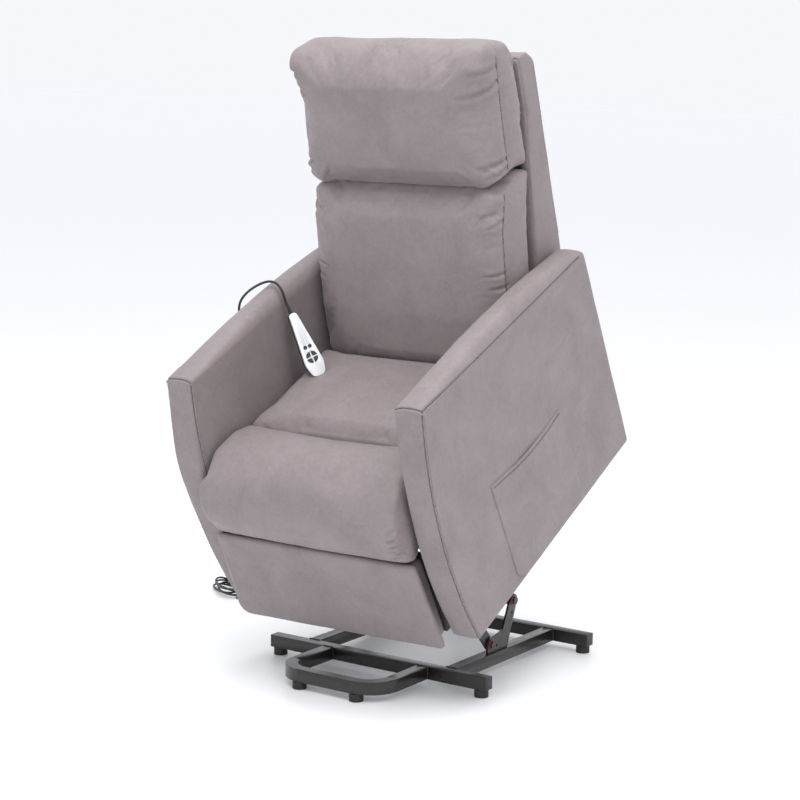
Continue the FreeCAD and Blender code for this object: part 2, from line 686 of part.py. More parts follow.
FOOT_CRANK_ANGLE = -22.65
BACK_CRANK_ANGLE = -71.0
foot_pin_y, foot_pin_z = crank_pin(drive_pivot_y, drive_pivot_z, foot_crank, FOOT_CRANK_ANGLE)
back_pin_y, back_pin_z = crank_pin(back_pivot_y, back_pivot_z, back_crank, BACK_CRANK_ANGLE)
foot_yoke_y = foot_pin_y + float(yoke_lead)
fork_top = drive_pivot_z - drive_tube - 1.5
yoke("footrest_drive_rod", foot_mid, Size(foot_yoke_y), drive_pivot_z - foot_crank - 6,
     fork_top + 1, fork_top, foot_rod_z, Size(foot_yoke_y + 14), Size(-240))
back_slot_high = back_pivot_z - back_crank * 0.945 + 6
yoke("back_drive_rod", back_mid, Size(back_pin_y), back_pivot_z - back_crank - 6,
     back_slot_high, back_slot_high + 8, back_rod_z, Size(-335), Size(back_pin_y - 14))

# ---------------------------------------------------------------- lift drive
motor_y, motor_z = float(lift_motor_y), float(lift_motor_z)
eye_y, eye_z = on_floor(rod_eye_y, rod_eye_z)
length, place = lying_along(Place(), motor_y, motor_z, eye_y, eye_z)
lift_body = Piece("lift_drive", place)
lift_body.across((-eye_gap + 1, eye_gap - 1), 0, 0, 14)
lift_body.box((-10, 10), (0, 30), (-12, 12))
lift_body.box((-22, 22), (26, 110), (-24, 24))
lift_body.rod("y", (0, 110, 0), 250, 17)
lift_body.rod("z", (0, 70, 24), 66, 21)
lift_body.across((-eye_gap, eye_gap), 0, 0, pin_radius + running, cut=True)
lift_body.rod("y", (0, 150, 0), 220, rod_radius + running, cut=True)
lift_rod = Piece("lift_drive_rod", place)
lift_rod.rod("y", (0, 240, 0), length - 240 - 20, rod_radius)
lift_rod.box((-8, 8), (length - 24, length), (-14, 14))
lift_rod.across((-8, 8), length, 0, 18)
lift_rod.across((-9, 9), length, 0, pin_radius + rod_eye_slack, cut=True)

# ---------------------------------------------------------------- footrest
length, place = lying_along(CHAIR, drive_pivot_y, drive_pivot_z, knee_y, knee_z)
swing = Piece("footrest_arm_links", place)
swing.across((-plane_a - foot_link_wall, plane_a + foot_link_wall), 0, 0, drive_tube)
for side in (1, -1):
    start, stop = both(side, plane_a, plane_a + foot_link_wall)
    swing.box((start, stop), (0, length), (-foot_link_half, foot_link_half))
    swing.across((start, stop), 0, 0, 16)
    swing.across((start, stop), length, 0, foot_link_half)
    swing.across(both(side, plane_a + foot_link_wall, plane_c + foot_link_wall + 1), length, 0, foot_pin)
rest_angle = direction(drive_pivot_y, drive_pivot_z, knee_y, knee_z)[1]
crank_turn = about_x(FOOT_CRANK_ANGLE - rest_angle)
crank_x = foot_mid + rod_radius + 2
corner = crank_turn.multVec(V(0, 0, -10))
swing.turned_box((crank_x, corner.y, corner.z), crank_turn, 6, foot_crank, 20)
spot = crank_turn.multVec(V(0, float(foot_crank), 0))
swing.across((crank_x, crank_x + 6), spot.y, spot.z, 10)
swing.across((foot_mid - yoke_wall / 2 - 2, crank_x), spot.y, spot.z, foot_pin)

length, place = lying_along(CHAIR, knee_y, knee_z, board_pin_y, board_pin_z)
local_tail = place.inverse().multVec(CHAIR.multVec(V(0, float(tail_y), float(tail_z))))
long_links = Piece("footrest_long_links", place)
for side in (1, -1):
    start, stop = both(side, plane_c, plane_c + foot_link_wall)
    long_links.box((start, stop), (0, length), (-foot_link_half, foot_link_half))
    long_links.across((start, stop), length, 0, foot_link_half)
    long_links.plate("yz", [(0, foot_link_half), (local_tail.y - 6, local_tail.z + 12),
                            (local_tail.y, local_tail.z - 13), (16, -foot_link_half)],
                     start, foot_link_wall)
    long_links.across((start, stop), 0, 0, 14)
    long_links.across((start, stop), local_tail.y, local_tail.z, 14)
    for y, z, radius in ((0, 0, foot_pin + running), (length, 0, foot_pin + running),
                         (local_tail.y, local_tail.z, foot_pin + tail_slack)):
        long_links.across((start - 1, stop + 1), y, z, radius, cut=True)

length, place = lying_along(CHAIR, guide_pin_y, guide_pin_z, tail_y, tail_z)
guides = Piece("footrest_guide_links", place)
for side in (1, -1):
    start, stop = both(side, plane_b, plane_b + foot_link_wall)
    guides.box((start, stop), (0, guide_length), (-9, 9))
    guides.across((start, stop), 0, 0, 10)
    guides.across((start, stop), guide_length, 0, 10)
    guides.across((start - 1, stop + 1), 0, 0, foot_pin + running, cut=True)
    guides.across(both(side, plane_c - 0.5, plane_b), guide_length, 0, foot_pin)

board = Piece("footrest_board", CHAIR)
board.box((-board_half, board_half), (board_back_y - board_wall, board_back_y), (board_low, board_top))
hanger = Piece("footrest_hangers", CHAIR)
for side in (1, -1):
    start, stop = both(side, plane_b, plane_b + foot_link_wall)
    hanger.box(both(side, plate_outer, plane_end), (board_back_y, board_back_y + 3), (55, 145))
    hanger.plate("yz", [(board_back_y, 58), (board_pin_y, board_pin_z - 12),
                        (board_pin_y, board_pin_z + 12), (board_back_y, 142)], start, foot_link_wall)
    hanger.across((start, stop), board_pin_y, board_pin_z, 12)
    hanger.across(both(side, plane_c - 0.5, plane_b), board_pin_y, board_pin_z, foot_pin)
pad = Piece("footrest_pad", CHAIR)
filling_half = seat_half - pad_inset
flap_back_y = pad_front_y + pad_flap
pad.box((-filling_half, filling_half), (flap_back_y, board_back_y - board_wall),
        (pad_low + pad_inset, pad_top - 1))
pad.box((-pad_flap_x, seat_half), (pad_front_y, flap_back_y), (pad_low, pad_top))
pad.soften(pad_corner, lambda p, t: abs(t.y) > 0.9 and p.z < float(pad_low) + 1)
pad.soften(7, lambda p, t: p.y < float(pad_front_y) + 1)

# ---------------------------------------------------------------- back
LEAN = CHAIR * Place(V(0, float(back_pivot_y), float(back_pivot_z)), about_x(-float(frame_lean)))
wing = Piece("back_shell", CHAIR)
wing_outline = [
    (5, 285), (132, 967), (112, 996), (76, 1002), (57, 878), (-59, 534), (-120, 353), (-75, 285),
]
shell_half = seat_half + 3
for side in (1, -1):
    wing.plate("yz", wing_outline, both(side, shell_half - shell_wall, shell_half)[0], shell_wall)
inside = shell_half - shell_wall
rear_board = [(5, 285), (132, 967), (120, 969), (-7, 287)]
top_board = [(132, 967), (112, 996), (76, 1002), (74, 989), (105, 984), (120, 964)]
for outline in (rear_board, top_board):
    wing.plate("yz", outline, -inside, inside * 2)

uprights = Piece("back_frame", LEAN)
upright_back = upright_front + upright_side
between = inside - upright_side
for side in (1, -1):
    uprights.box(both(side, between, inside), (upright_front, upright_back), (-12, upright_top))
    lug = both(side, between, between + ear_wall)
    lug_outline = [
        (upright_front + 5, 60), (upright_front + 5, -12), (0, -16), (16, 0), (8, 14),
    ]
    uprights.plate("yz", lug_outline, lug[0], ear_wall)
    uprights.across(lug, 0, 0, 16)
for height in (Size(40), Size(300), upright_top - 20):
    uprights.box((-between, between), (upright_front, upright_front + 20), (height, height + 20))
uprights.across((-between, between), 0, 0, back_tube)
lever_turn = about_x(BACK_CRANK_ANGLE + float(frame_lean))
lever_x = back_mid + rod_radius + 2
corner = lever_turn.multVec(V(0, 0, -10))
uprights.turned_box((lever_x, corner.y, corner.z), lever_turn, 6, back_crank, 20)
spot = lever_turn.multVec(V(0, float(back_crank), 0))
uprights.across((lever_x, lever_x + 6), 0, 0, 18)
uprights.across((lever_x, lever_x + 6), spot.y, spot.z, 10)
uprights.across((back_mid - yoke_wall / 2 - 2, lever_x), spot.y, spot.z, foot_pin)

back_webbing = Piece("back_webbing", LEAN)
for k in range(STRAPS):
    low = 75 + 95 * k
    back_webbing.box((-inside, inside), (upright_front - strap_wall, upright_front), (low, low + 50))

lumbar = Piece("lower_back_cushion", CHAIR)
lumbar_outline = [
    (-133, 766), (-160, 700), (-192, 624), (-235, 500), (-264, 400), (-263, 350), (-240, 326),
    (-129.6, 326), (15.3, 756), (-20, 766),
]
lumbar.plate("yz", lumbar_outline, -seat_half, seat_half * 2)
lumbar.soften(18, lambda p, t: abs(t.x) < 0.5 and p.y < -130 and 420 < p.z < 760)
head = Piece("head_cushion", CHAIR)
head_outline = [
    (13, 1081), (-40, 1076), (-79, 1057), (-94, 987), (-124, 858), (-131, 800), (-118, 769),
    (-20, 769), (16.7, 760), (56.8, 880), (75.4, 1001), (66, 1055),
]
head.plate("yz", head_outline, -seat_half, seat_half * 2)

# ---------------------------------------------------------------- handset
handset_foot = V(-182, -391, 410)
handset_head = V(-245, -347, 548)
up = (handset_head - handset_foot).normalize()
facing = V(0.78, -0.42, 0.46)
facing = (facing - up * facing.dot(up)).normalize()
wide = up.cross(facing)
HANDSET = CHAIR * Place(FreeCAD.Matrix(wide.x, up.x, facing.x, handset_foot.x,
                                       wide.y, up.y, facing.y, handset_foot.y,
                                       wide.z, up.z, facing.z, handset_foot.z, 0, 0, 0, 1))
foot_half = size("handset_foot_half", 15)
wide_half = size("handset_wide_half", 23)
wide_y = size("handset_wide_y", 30, "from the foot to the widest place")
head_half = size("handset_head_half", 9)
pad_y = size("button_pad_y", 46, "middle of the ring of buttons")
oval_y = size("oval_y", 72)
oval_x = size("oval_x", 6)
oval_radius = size("oval_radius", 4.4)
ring_out = size("ring_out", 13.5)
ring_in = size("ring_in", 5.8)
half_cross = size("half_cross", 1.8, "half the width of the cross between the ring's buttons")
button_high = size("button_high", 0.7, "a button above the shell")
well = size("well", 4.2, "depth of a button's well")
button_low = -well + button_travel + 0.4
handset_outline = [
    (-foot_half, 0), (foot_half, 0), (wide_half, wide_y), (head_half, handset_length),
    (-head_half, handset_length), (-wide_half, wide_y),
]
shell_front = Piece("handset_front", HANDSET)
shell_front.plate("xy", handset_outline, -handset_front, handset_front)
shell_back = Piece("handset_back", HANDSET)
shell_back.plate("xy", handset_outline, -handset_thick, handset_thick - handset_front)
for half_shell in (shell_front, shell_back):
    half_shell.soften(12, lambda p, t: abs(t.z) > 0.9 and p.y < 1)
    half_shell.soften(40, lambda p, t: abs(t.z) > 0.9 and abs(p.y - float(wide_y)) < 2)
    half_shell.soften(8, lambda p, t: abs(t.z) > 0.9 and p.y > float(handset_length) - 1)


def quarter(piece, turn, grown, low, high, cut):
    """A quarter disc of the ring of buttons, grown by a gap for its well."""
    inset = half_cross - grown
    spin = math.radians(turn)
    shift_x = inset * (math.cos(spin) - math.sin(spin))
    shift_y = inset * (math.sin(spin) + math.cos(spin))
    piece.rod("z", (shift_x, pad_y + shift_y, low), high - low, ring_out + grown - inset,
              cut=cut, angle=90, spin=turn)


for k, x in enumerate((-oval_x, oval_x)):
    shell_front.rod("z", (x, oval_y, -well), well + 1, oval_radius + button_gap, cut=True)
    oval = Piece("button_oval_%d" % (k + 1), HANDSET)
    oval.rod("z", (x, oval_y, button_low), button_high - button_low, oval_radius)
for k in range(4):
    quarter(shell_front, 90 * k, button_gap, -well, Size(1), cut=True)
    segment = Piece("button_ring_%d" % (k + 1), HANDSET)
    quarter(segment, 90 * k, Size(0), button_low, button_high, cut=False)
    segment.rod("z", (0, pad_y, button_low - 1), button_high - button_low + 2, ring_in, cut=True)


# ---------------------------------------------------------------- cords
def tube_along(label, points, radius, place=Place()):
    """A cord: straight runs joined by tangent arcs through the given points."""
    points = [V(*p) for p in points]
    edges = []
    start = points[0]
    tightest = 1e9
    for before, corner, after in zip(points, points[1:], points[2:]):
        back, ahead = before - corner, after - corner
        turn = math.pi - back.getAngle(ahead)
        reach = 0.45 * min(back.Length, ahead.Length)
        bend = reach / math.tan(turn / 2)
        tightest = min(tightest, bend)
        first = corner + back.normalize() * reach
        last = corner + ahead.normalize() * reach
        inward = (back + ahead).normalize()
        middle = corner + inward * (math.hypot(bend, reach) - bend)
        edges.append(Part.LineSegment(start, first).toShape())
        edges.append(Part.Arc(first, middle, last).toShape())
        start = last
    edges.append(Part.LineSegment(start, points[-1]).toShape())
    path = Part.Wire(edges)
    circle = Part.Circle(points[0], (points[1] - points[0]).normalize(), float(radius))
    profile = Part.Wire([circle.toShape()])
    solid = path.makePipeShell([profile], True, False)
    expected = math.pi * float(radius) ** 2 * path.Length
    print("%s length %.0f tightest arc %.1f volume ratio %.4f" % (
        label, path.Length, tightest, solid.Volume / expected))
    feature = doc.addObject("Part::Feature", label)
    feature.Label = label
    feature.Shape = solid
    feature.Placement = place
    nodes.append(feature)


exit_point = CHAIR.inverse().multVec(HANDSET.multVec(V(0, float(handset_length) + 14, -11)))
collar = Piece("handset_cord_collar", HANDSET)
collar.rod("y", (0, handset_length, -11), 14, 4.2)
HANDSET_CORD = [
    tuple(exit_point), (-265.7, -333.9, 569.4), (-268, -330, 586), (-275, -324.5, 601),
    (-290, -316, 607.5), (-310, -311, 609), (-328, -317, 608.5), (-343, -336, 607), (-354, -359, 603),
    (-361, -381, 593), (-361.5, -396, 573), (-361, -402, 545), (-360, -403, 505), (-359, -400, 450),
    (-359, -392, 400), (-359, -389, 330),
    (-359, -377, 260), (-359, -357, 192), (-359, -331, 128), (-360, -306, 78), (-361.5, -288, 38),
    (-362, -279, 6), (-356, -272, -17), (-336, -268.5, -28), (-310, -266, -31), (-285, -265, -25),
    (-266, -264.5, -9), (-259.5, -264.7, 12), (-260, -266, 36), (-261, -269, 60),
]
tube_along("handset_cord", HANDSET_CORD, handset_cord_radius, CHAIR)

MAINS_CORD = [
    (float(supply_side) - 24, 251.5, 33), (-300, 251.8, 31), (-324, 253, 20), (-350, 256.5, 8),
    (-382, 262, 2.9), (-424, 272, 2.8), (-478, 283, 2.9), (-536, 287, 2.8), (-592, 280, 2.9),
    (-642, 268, 2.8), (-690, 258, 2.9),
]
tube_along("power_cord", MAINS_CORD, mains_cord_radius)
hank = Piece("power_cord_hank")
hank.plate("xy", [(-690, 246), (-690, 285), (-730, 325), (-800, 352), (-840, 345), (-846, 318),
                  (-800, 262), (-760, 226), (-724, 214)], 0, 20)
hank.soften(6, lambda p, t: p.z > 19)
PLUG_CORD = [
    (-690, 276, 2.9), (-671, 276.4, 2.8), (-648, 288, 3.0), (-623, 308, 5.5), (-598, 324, 9),
]
tube_along("power_cord_tail", PLUG_CORD, mains_cord_radius)
plug_turn = FreeCAD.Rotation(V(0, 0, 1), 26.6)
plug = Piece("mains_plug", Place(V(-598, 324, 9), plug_turn))
plug.rod("x", (0, 0, 0), 14, 4.2)
plug.box((12, 52), (-13, 13), (-8.5, 8.5))
plug.soften(6, lambda p, t: abs(t.x) > 0.9 and abs(p.y) > 12)
for y in (-9.5, 9.5):
    plug.rod("x", (52, y, 0), 19, 2.4)

# ---------------------------------------------------------------- build, check and write
doc.recompute()
for thing in doc.Objects:
    for word in ("Invalid", "Error"):
        if word in thing.State:
            raise RuntimeError("%s: %s %s" % (thing.Label, word, thing.getStatusString()))
os.makedirs("parts", exist_ok=True)
for node in nodes:
    if node.Shape.isNull() or not node.Shape.isValid() or not node.Shape.Solids:
        raise RuntimeError("bad shape: " + node.Label)
    node.Shape.exportStep("parts/%s.step" % node.Label)
print(len(nodes), "pieces")
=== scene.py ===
"""Looks of the lift recliner chair: covers, cushions, cords, finishes, light and camera."""

import json
import math

import bmesh
import bpy
import numpy as np
from mathutils import Matrix, Vector, noise
from mathutils.bvhtree import BVHTree

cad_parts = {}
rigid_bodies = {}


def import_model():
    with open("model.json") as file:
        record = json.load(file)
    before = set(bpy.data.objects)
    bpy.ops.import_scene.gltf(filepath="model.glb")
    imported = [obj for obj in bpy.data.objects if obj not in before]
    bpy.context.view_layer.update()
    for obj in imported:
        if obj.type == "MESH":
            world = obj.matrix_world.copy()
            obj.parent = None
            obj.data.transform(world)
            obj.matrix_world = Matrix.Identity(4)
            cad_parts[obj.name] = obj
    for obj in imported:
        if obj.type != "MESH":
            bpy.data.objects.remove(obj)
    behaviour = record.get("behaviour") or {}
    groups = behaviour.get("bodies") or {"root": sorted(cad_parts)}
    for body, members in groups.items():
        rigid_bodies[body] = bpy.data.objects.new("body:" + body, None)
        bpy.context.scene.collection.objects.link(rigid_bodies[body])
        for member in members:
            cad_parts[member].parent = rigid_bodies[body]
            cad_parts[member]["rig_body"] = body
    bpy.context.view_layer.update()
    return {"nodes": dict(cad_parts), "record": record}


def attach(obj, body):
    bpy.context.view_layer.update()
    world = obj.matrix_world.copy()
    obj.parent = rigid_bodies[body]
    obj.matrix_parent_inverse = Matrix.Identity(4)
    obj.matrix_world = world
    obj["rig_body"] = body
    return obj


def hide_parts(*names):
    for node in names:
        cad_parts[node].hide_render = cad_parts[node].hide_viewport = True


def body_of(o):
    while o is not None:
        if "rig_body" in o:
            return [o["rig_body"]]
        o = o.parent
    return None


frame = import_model()
scene = bpy.context.scene
MM = 0.001
# The chair's own level frame, in the raised pose: its origin is the lower rear corner of the sides.
CHAIR_AT, CHAIR_TILT = (0, 0.4485, 0.518), math.radians(28.5)
CHAIR = Matrix.Translation(CHAIR_AT) @ Matrix.Rotation(CHAIR_TILT, 4, "X")
ROOM = Matrix.Identity(4)


# ---------------------------------------------------------------- camera
YAW, PITCH, LEAN = math.radians(34.701), math.radians(9.379), math.radians(0.716)
CAMERA_AT = (2.8339, -4.1169, 1.4643)
ahead = Vector((-math.sin(YAW) * math.cos(PITCH), math.cos(YAW) * math.cos(PITCH),
                -math.sin(PITCH)))
level = Vector((math.cos(YAW), math.sin(YAW), 0))
above = level.cross(ahead)
right = level * math.cos(LEAN) + above * math.sin(LEAN)
above = above * math.cos(LEAN) - level * math.sin(LEAN)
camera = bpy.data.objects.new("camera", bpy.data.cameras.new("camera"))
scene.collection.objects.link(camera)
camera.data.lens = 97.61
camera.data.sensor_width = 36
camera.data.clip_end = 100
camera.matrix_world = Matrix.Translation(CAMERA_AT) @ Matrix(
    (right, above, -ahead)).transposed().to_4x4()
scene.camera = camera


# ---------------------------------------------------------------- materials
def shader(name, base, rough, metallic=0.0, sheen=0.0, coat=0.0, specular=0.5):
    """A new material with its plain values set, and what is needed to wire it further."""
    mat = bpy.data.materials.new(name)
    mat.use_nodes = True
    nodes = mat.node_tree.nodes
    node = nodes["Principled BSDF"]
    node.inputs["Base Color"].default_value = (*base, 1)
    node.inputs["Roughness"].default_value = rough
    node.inputs["Metallic"].default_value = metallic
    node.inputs["Sheen Weight"].default_value = sheen
    node.inputs["Coat Weight"].default_value = coat
    node.inputs["Specular IOR Level"].default_value = specular
    return mat, nodes, mat.node_tree.links, node


def coordinates(nodes):
    """The object's own coordinates."""
    return nodes.new("ShaderNodeTexCoord").outputs["Object"]


def noise_node(nodes, links, place, scale, detail=3.0, rough=0.5, distortion=0.0):
    """A cloudy value over the surface."""
    tex = nodes.new("ShaderNodeTexNoise")
    tex.inputs["Scale"].default_value = scale
    tex.inputs["Detail"].default_value = detail
    tex.inputs["Roughness"].default_value = rough
    tex.inputs["Distortion"].default_value = distortion
    links.new(place, tex.inputs["Vector"])
    return tex.outputs["Fac"]


def ramp(nodes, links, source, stops):
    """Colours by the source's value, at stops (value, colour)."""
    node = nodes.new("ShaderNodeValToRGB")
    while len(node.color_ramp.elements) < len(stops):
        node.color_ramp.elements.new(0.5)
    for element, (place, colour) in zip(node.color_ramp.elements, stops):
        element.position = place
        element.color = (*colour, 1)
    links.new(source, node.inputs["Fac"])
    return node.outputs["Color"]


def bump(nodes, links, height, node, strength, distance, before=None):
    """Fine relief from a height, laid over the relief before it."""
    made = nodes.new("ShaderNodeBump")
    made.inputs["Strength"].default_value = strength
    made.inputs["Distance"].default_value = distance
    links.new(height, made.inputs["Height"])
    if before is not None:
        links.new(before, made.inputs["Normal"])
    links.new(made.outputs["Normal"], node.inputs["Normal"])
    return made.outputs["Normal"]


def shade(colour, k):
    """A colour made darker or lighter."""
    return tuple(c * k for c in colour)


def mixed(nodes, links, kind, fac, a, b):
    """Two colours mixed."""
    node = nodes.new("ShaderNodeMix")
    node.data_type = "RGBA"
    node.blend_type = kind
    node.inputs["Factor"].default_value = fac
    links.new(a, node.inputs["A"])
    links.new(b, node.inputs["B"])
    return node.outputs["Result"]


def suede(name, base):
    """Suede-look leatherette: a soft cloudy mottle, fine scuffs and a very fine grain."""
    mat, nodes, links, node = shader(name, base, 0.55, sheen=0.1, specular=0.4)
    node.inputs["Sheen Roughness"].default_value = 0.5
    at = coordinates(nodes)
    cloud = noise_node(nodes, links, at, 9, 5, 0.62, 0.6)
    cloudy = ramp(nodes, links, cloud, [(0.3, shade(base, 0.91)), (0.5, base),
                                        (0.72, shade(base, 1.1))])
    scuff = noise_node(nodes, links, at, 70, 6, 0.7, 1.2)
    scuffed = ramp(nodes, links, scuff, [(0.36, (0.84, 0.84, 0.84)), (0.52, (1, 1, 1)),
                                         (0.7, (1.16, 1.14, 1.14))])
    fine = noise_node(nodes, links, at, 520, 2, 0.5)
    finer = ramp(nodes, links, fine, [(0.3, (0.93, 0.93, 0.93)), (0.7, (1.06, 1.06, 1.06))])
    colour = mixed(nodes, links, "MULTIPLY", 0.5, cloudy, scuffed)
    colour = mixed(nodes, links, "MULTIPLY", 0.45, colour, finer)
    links.new(colour, node.inputs["Base Color"])
    roughness = ramp(nodes, links, cloud, [(0.3, (0.62,) * 3), (0.7, (0.48,) * 3)])
    links.new(roughness, node.inputs["Roughness"])
    pores = nodes.new("ShaderNodeTexVoronoi")
    pores.inputs["Scale"].default_value = 900
    links.new(at, pores.inputs["Vector"])
    first = bump(nodes, links, pores.outputs["Distance"], node, 0.14, 0.0003)
    bump(nodes, links, noise_node(nodes, links, at, 240, 4, 0.6), node, 0.12, 0.0006, first)
    return mat


def painted(name, base, rough=0.34, dust=1.0):
    """Satin powder coat with a faint orange-peel, and a little dust and rubbing."""
    mat, nodes, links, node = shader(name, base, rough, coat=0.25)
    node.inputs["Coat Roughness"].default_value = 0.3
    at = coordinates(nodes)
    patch = noise_node(nodes, links, at, 22, 4, 0.6)
    colour = ramp(nodes, links, patch, [(0.35, shade(base, 0.88)), (0.62, base),
                                        (0.8, shade(base, 1 + 0.5 * dust))])
    links.new(colour, node.inputs["Base Color"])
    links.new(ramp(nodes, links, patch, [(0.3, (rough,) * 3), (0.8, (rough + 0.14,) * 3)]),
              node.inputs["Roughness"])
    bump(nodes, links, noise_node(nodes, links, at, 700, 1), node, 0.12, 0.0003)
    return mat


def moulded(name, base, rough, grain=0.15, scale=1500):
    """Moulded plastic or rubber with a fine spark-eroded grain."""
    mat, nodes, links, node = shader(name, base, rough)
    at = coordinates(nodes)
    patch = noise_node(nodes, links, at, 30, 3)
    links.new(ramp(nodes, links, patch, [(0.3, shade(base, 0.93)), (0.7, shade(base, 1.08))]),
              node.inputs["Base Color"])
    links.new(ramp(nodes, links, patch, [(0.3, (rough,) * 3), (0.7, (rough + 0.06,) * 3)]),
              node.inputs["Roughness"])
    bump(nodes, links, noise_node(nodes, links, at, scale, 2), node, grain, 0.0002)
    return mat


def bright_metal(name, base, rough):
    """Bare or plated metal, slightly clouded."""
    mat, nodes, links, node = shader(name, base, rough, metallic=1.0)
    at = coordinates(nodes)
    patch = noise_node(nodes, links, at, 60, 4, 0.6)
    links.new(ramp(nodes, links, patch, [(0.3, shade(base, 0.8)), (0.7, base)]),
              node.inputs["Base Color"])
    links.new(ramp(nodes, links, patch, [(0.3, (rough,) * 3), (0.7, (rough + 0.2,) * 3)]),
              node.inputs["Roughness"])
    bump(nodes, links, noise_node(nodes, links, at, 900, 2), node, 0.1, 0.0002)
    return mat


def woven(name, base):
    """Flat elastic webbing or backing cloth: two crossed sets of threads."""
    mat, nodes, links, node = shader(name, base, 0.85, sheen=0.2)
    at = coordinates(nodes)
    total = None
    for axis in ("X", "Z"):
        wave = nodes.new("ShaderNodeTexWave")
        wave.bands_direction = axis
        wave.inputs["Scale"].default_value = 160
        links.new(at, wave.inputs["Vector"])
        total = wave.outputs["Fac"] if total is None else mixed(
            nodes, links, "MULTIPLY", 1.0, total, wave.outputs["Fac"])
    links.new(ramp(nodes, links, total, [(0.0, shade(base, 0.55)), (0.8, shade(base, 1.2))]),
              node.inputs["Base Color"])
    bump(nodes, links, total, node, 0.4, 0.0005)
    return mat


def timber(name, base):
    """Sawn wood with its grain along X."""
    mat, nodes, links, node = shader(name, base, 0.6)
    at = coordinates(nodes)
    squeeze = nodes.new("ShaderNodeMapping")
    squeeze.inputs["Scale"].default_value = (1.5, 14, 14)
    links.new(at, squeeze.inputs["Vector"])
    grain = noise_node(nodes, links, squeeze.outputs["Vector"], 6, 6, 0.6, 1.5)
    links.new(ramp(nodes, links, grain, [(0.3, shade(base, 0.62)), (0.5, base),
                                         (0.7, shade(base, 1.12))]), node.inputs["Base Color"])
    bump(nodes, links, grain, node, 0.2, 0.0004)
    return mat


TAUPE = (0.232, 0.197, 0.200)
COVER = suede("cover", TAUPE)
# Dark colour of the stitches, and of the line sunk in each seam's groove, which is painted groove
# shade.
THREAD_AND_GROOVE_SHADE = moulded("thread_and_groove_shade", (0.10, 0.083, 0.082), 0.75, 0.4, 2500)
STEEL = painted("painted_steel", (0.0110, 0.0078, 0.0072), 0.25, 0.3)
LINKS = painted("linkage_steel", (0.02, 0.02, 0.022), 0.4)
ZINC = bright_metal("zinc", (0.6, 0.6, 0.58), 0.3)
BUSH = moulded("bush_plastic", (0.3, 0.045, 0.04), 0.45)
BLACK = moulded("black_plastic", (0.018, 0.018, 0.02), 0.42)
RUBBER = moulded("foot_rubber", (0.014, 0.013, 0.013), 0.6)
CASING = moulded("drive_casing", (0.03, 0.03, 0.033), 0.5)
STRAP = woven("webbing", (0.1, 0.09, 0.085))
CLOTH = woven("backing_cloth", (0.03, 0.03, 0.03))
WOOD = timber("frame_wood", (0.5, 0.36, 0.22))
WHITE = moulded("white_gloss", (0.83, 0.84, 0.85), 0.16, 0.02)
GLOSS = moulded("dark_gloss", (0.02, 0.021, 0.024), 0.2, 0.03)
BUTTON = moulded("button_grey", (0.035, 0.038, 0.042), 0.45)
JACKET = moulded("cord_jacket", (0.012, 0.012, 0.013), 0.42, 0.1, 800)

FINISH = {
    "painted_steel": STEEL, "linkage_steel": LINKS, "zinc_steel": ZINC, "bush_plastic": BUSH,
    "black_plastic": BLACK, "foot_rubber": RUBBER, "drive_casing": CASING, "webbing": STRAP,
    "upholstery": COVER, "backing_cloth": CLOTH, "frame_wood": WOOD, "white_gloss": WHITE,
    "dark_gloss": GLOSS, "button_grey": BUTTON, "cord_jacket": JACKET,
}
# Wood behind narrow gaps reads as dark backing cloth, and the pivot bolts as dark steel.
DRAWN_AS = {"footrest_board": CLOTH, "seat_frame": CLOTH, "lift_pivot_bolts": LINKS}
slots = {s["node"]: s["material_slot"] for s in frame["record"]["subparts"]}
body_of_node = {n: b for b, held in frame["record"]["behaviour"]["bodies"].items() for n in held}


def paint(thing, node):
    """Give an object the one finish of a CAD node."""
    thing.data.materials.clear()
    thing.data.materials.append(DRAWN_AS.get(node, FINISH[slots[node]]))


for node_name, node_object in frame["nodes"].items():
    paint(node_object, node_name)


# ---------------------------------------------------------------- making pieces
def add(name, verts, faces, mat, place=CHAIR, scale=MM):
    """A smooth-shaded mesh object with one material."""
    mesh = bpy.data.meshes.new(name)
    mesh.from_pydata([tuple(place @ (Vector(v) * scale)) for v in verts], [], faces)
    mesh.validate()
    work = bmesh.new()
    work.from_mesh(mesh)
    bmesh.ops.recalc_face_normals(work, faces=work.faces)
    work.to_mesh(mesh)
    work.free()
    mesh.shade_smooth()
    mesh.materials.append(mat)
    thing = bpy.data.objects.new(name, mesh)
    scene.collection.objects.link(thing)
    return thing


def run_lengths(path):
    """The distance along a path to each of its points."""
    return np.concatenate([[0], np.cumsum(np.linalg.norm(np.diff(path, axis=0), axis=1))])


def at_lengths(path, lengths, want):
    """The path's points at the wanted distances."""
    return np.stack([np.interp(want, lengths, path[:, k]) for k in range(3)], 1)


def outline(corners, step):
    """A closed loop through corners (u, v, radius, how much its edge is rounded), evenly spaced."""
    count = len(corners)
    path = []
    for k in range(count):
        here = np.array(corners[k][:2], float)
        before = np.array(corners[k - 1][:2], float)
        after = np.array(corners[(k + 1) % count][:2], float)
        into, out = before - here, after - here
        room = 0.48 * min(np.linalg.norm(into), np.linalg.norm(out))
        into /= np.linalg.norm(into)
        out /= np.linalg.norm(out)
        turn = math.pi - math.acos(max(-1, min(1, float(into @ out))))
        reach = min(corners[k][2] * math.tan(turn / 2) + 0.01, room)
        first, last = here + into * reach, here + out * reach
        ease = corners[k][3] if len(corners[k]) > 3 else 1.0
        for t in np.linspace(0, 1, 13):
            path.append((*((1 - t) ** 2 * first + 2 * t * (1 - t) * here + t * t * last), ease))
    path = np.array(path + [path[0]])
    lengths = run_lengths(path[:, :2])
    total = max(12, int(round(lengths[-1] / step)))
    return at_lengths(path, lengths, np.linspace(0, lengths[-1], total, endpoint=False))


def area_sign(loop):
    """1 for a loop that runs anticlockwise, else -1."""
    u, v = loop[:, 0], loop[:, 1]
    return math.copysign(1, float((u * np.roll(v, -1) - np.roll(u, -1) * v).sum()))


EDGE_STEPS = 6


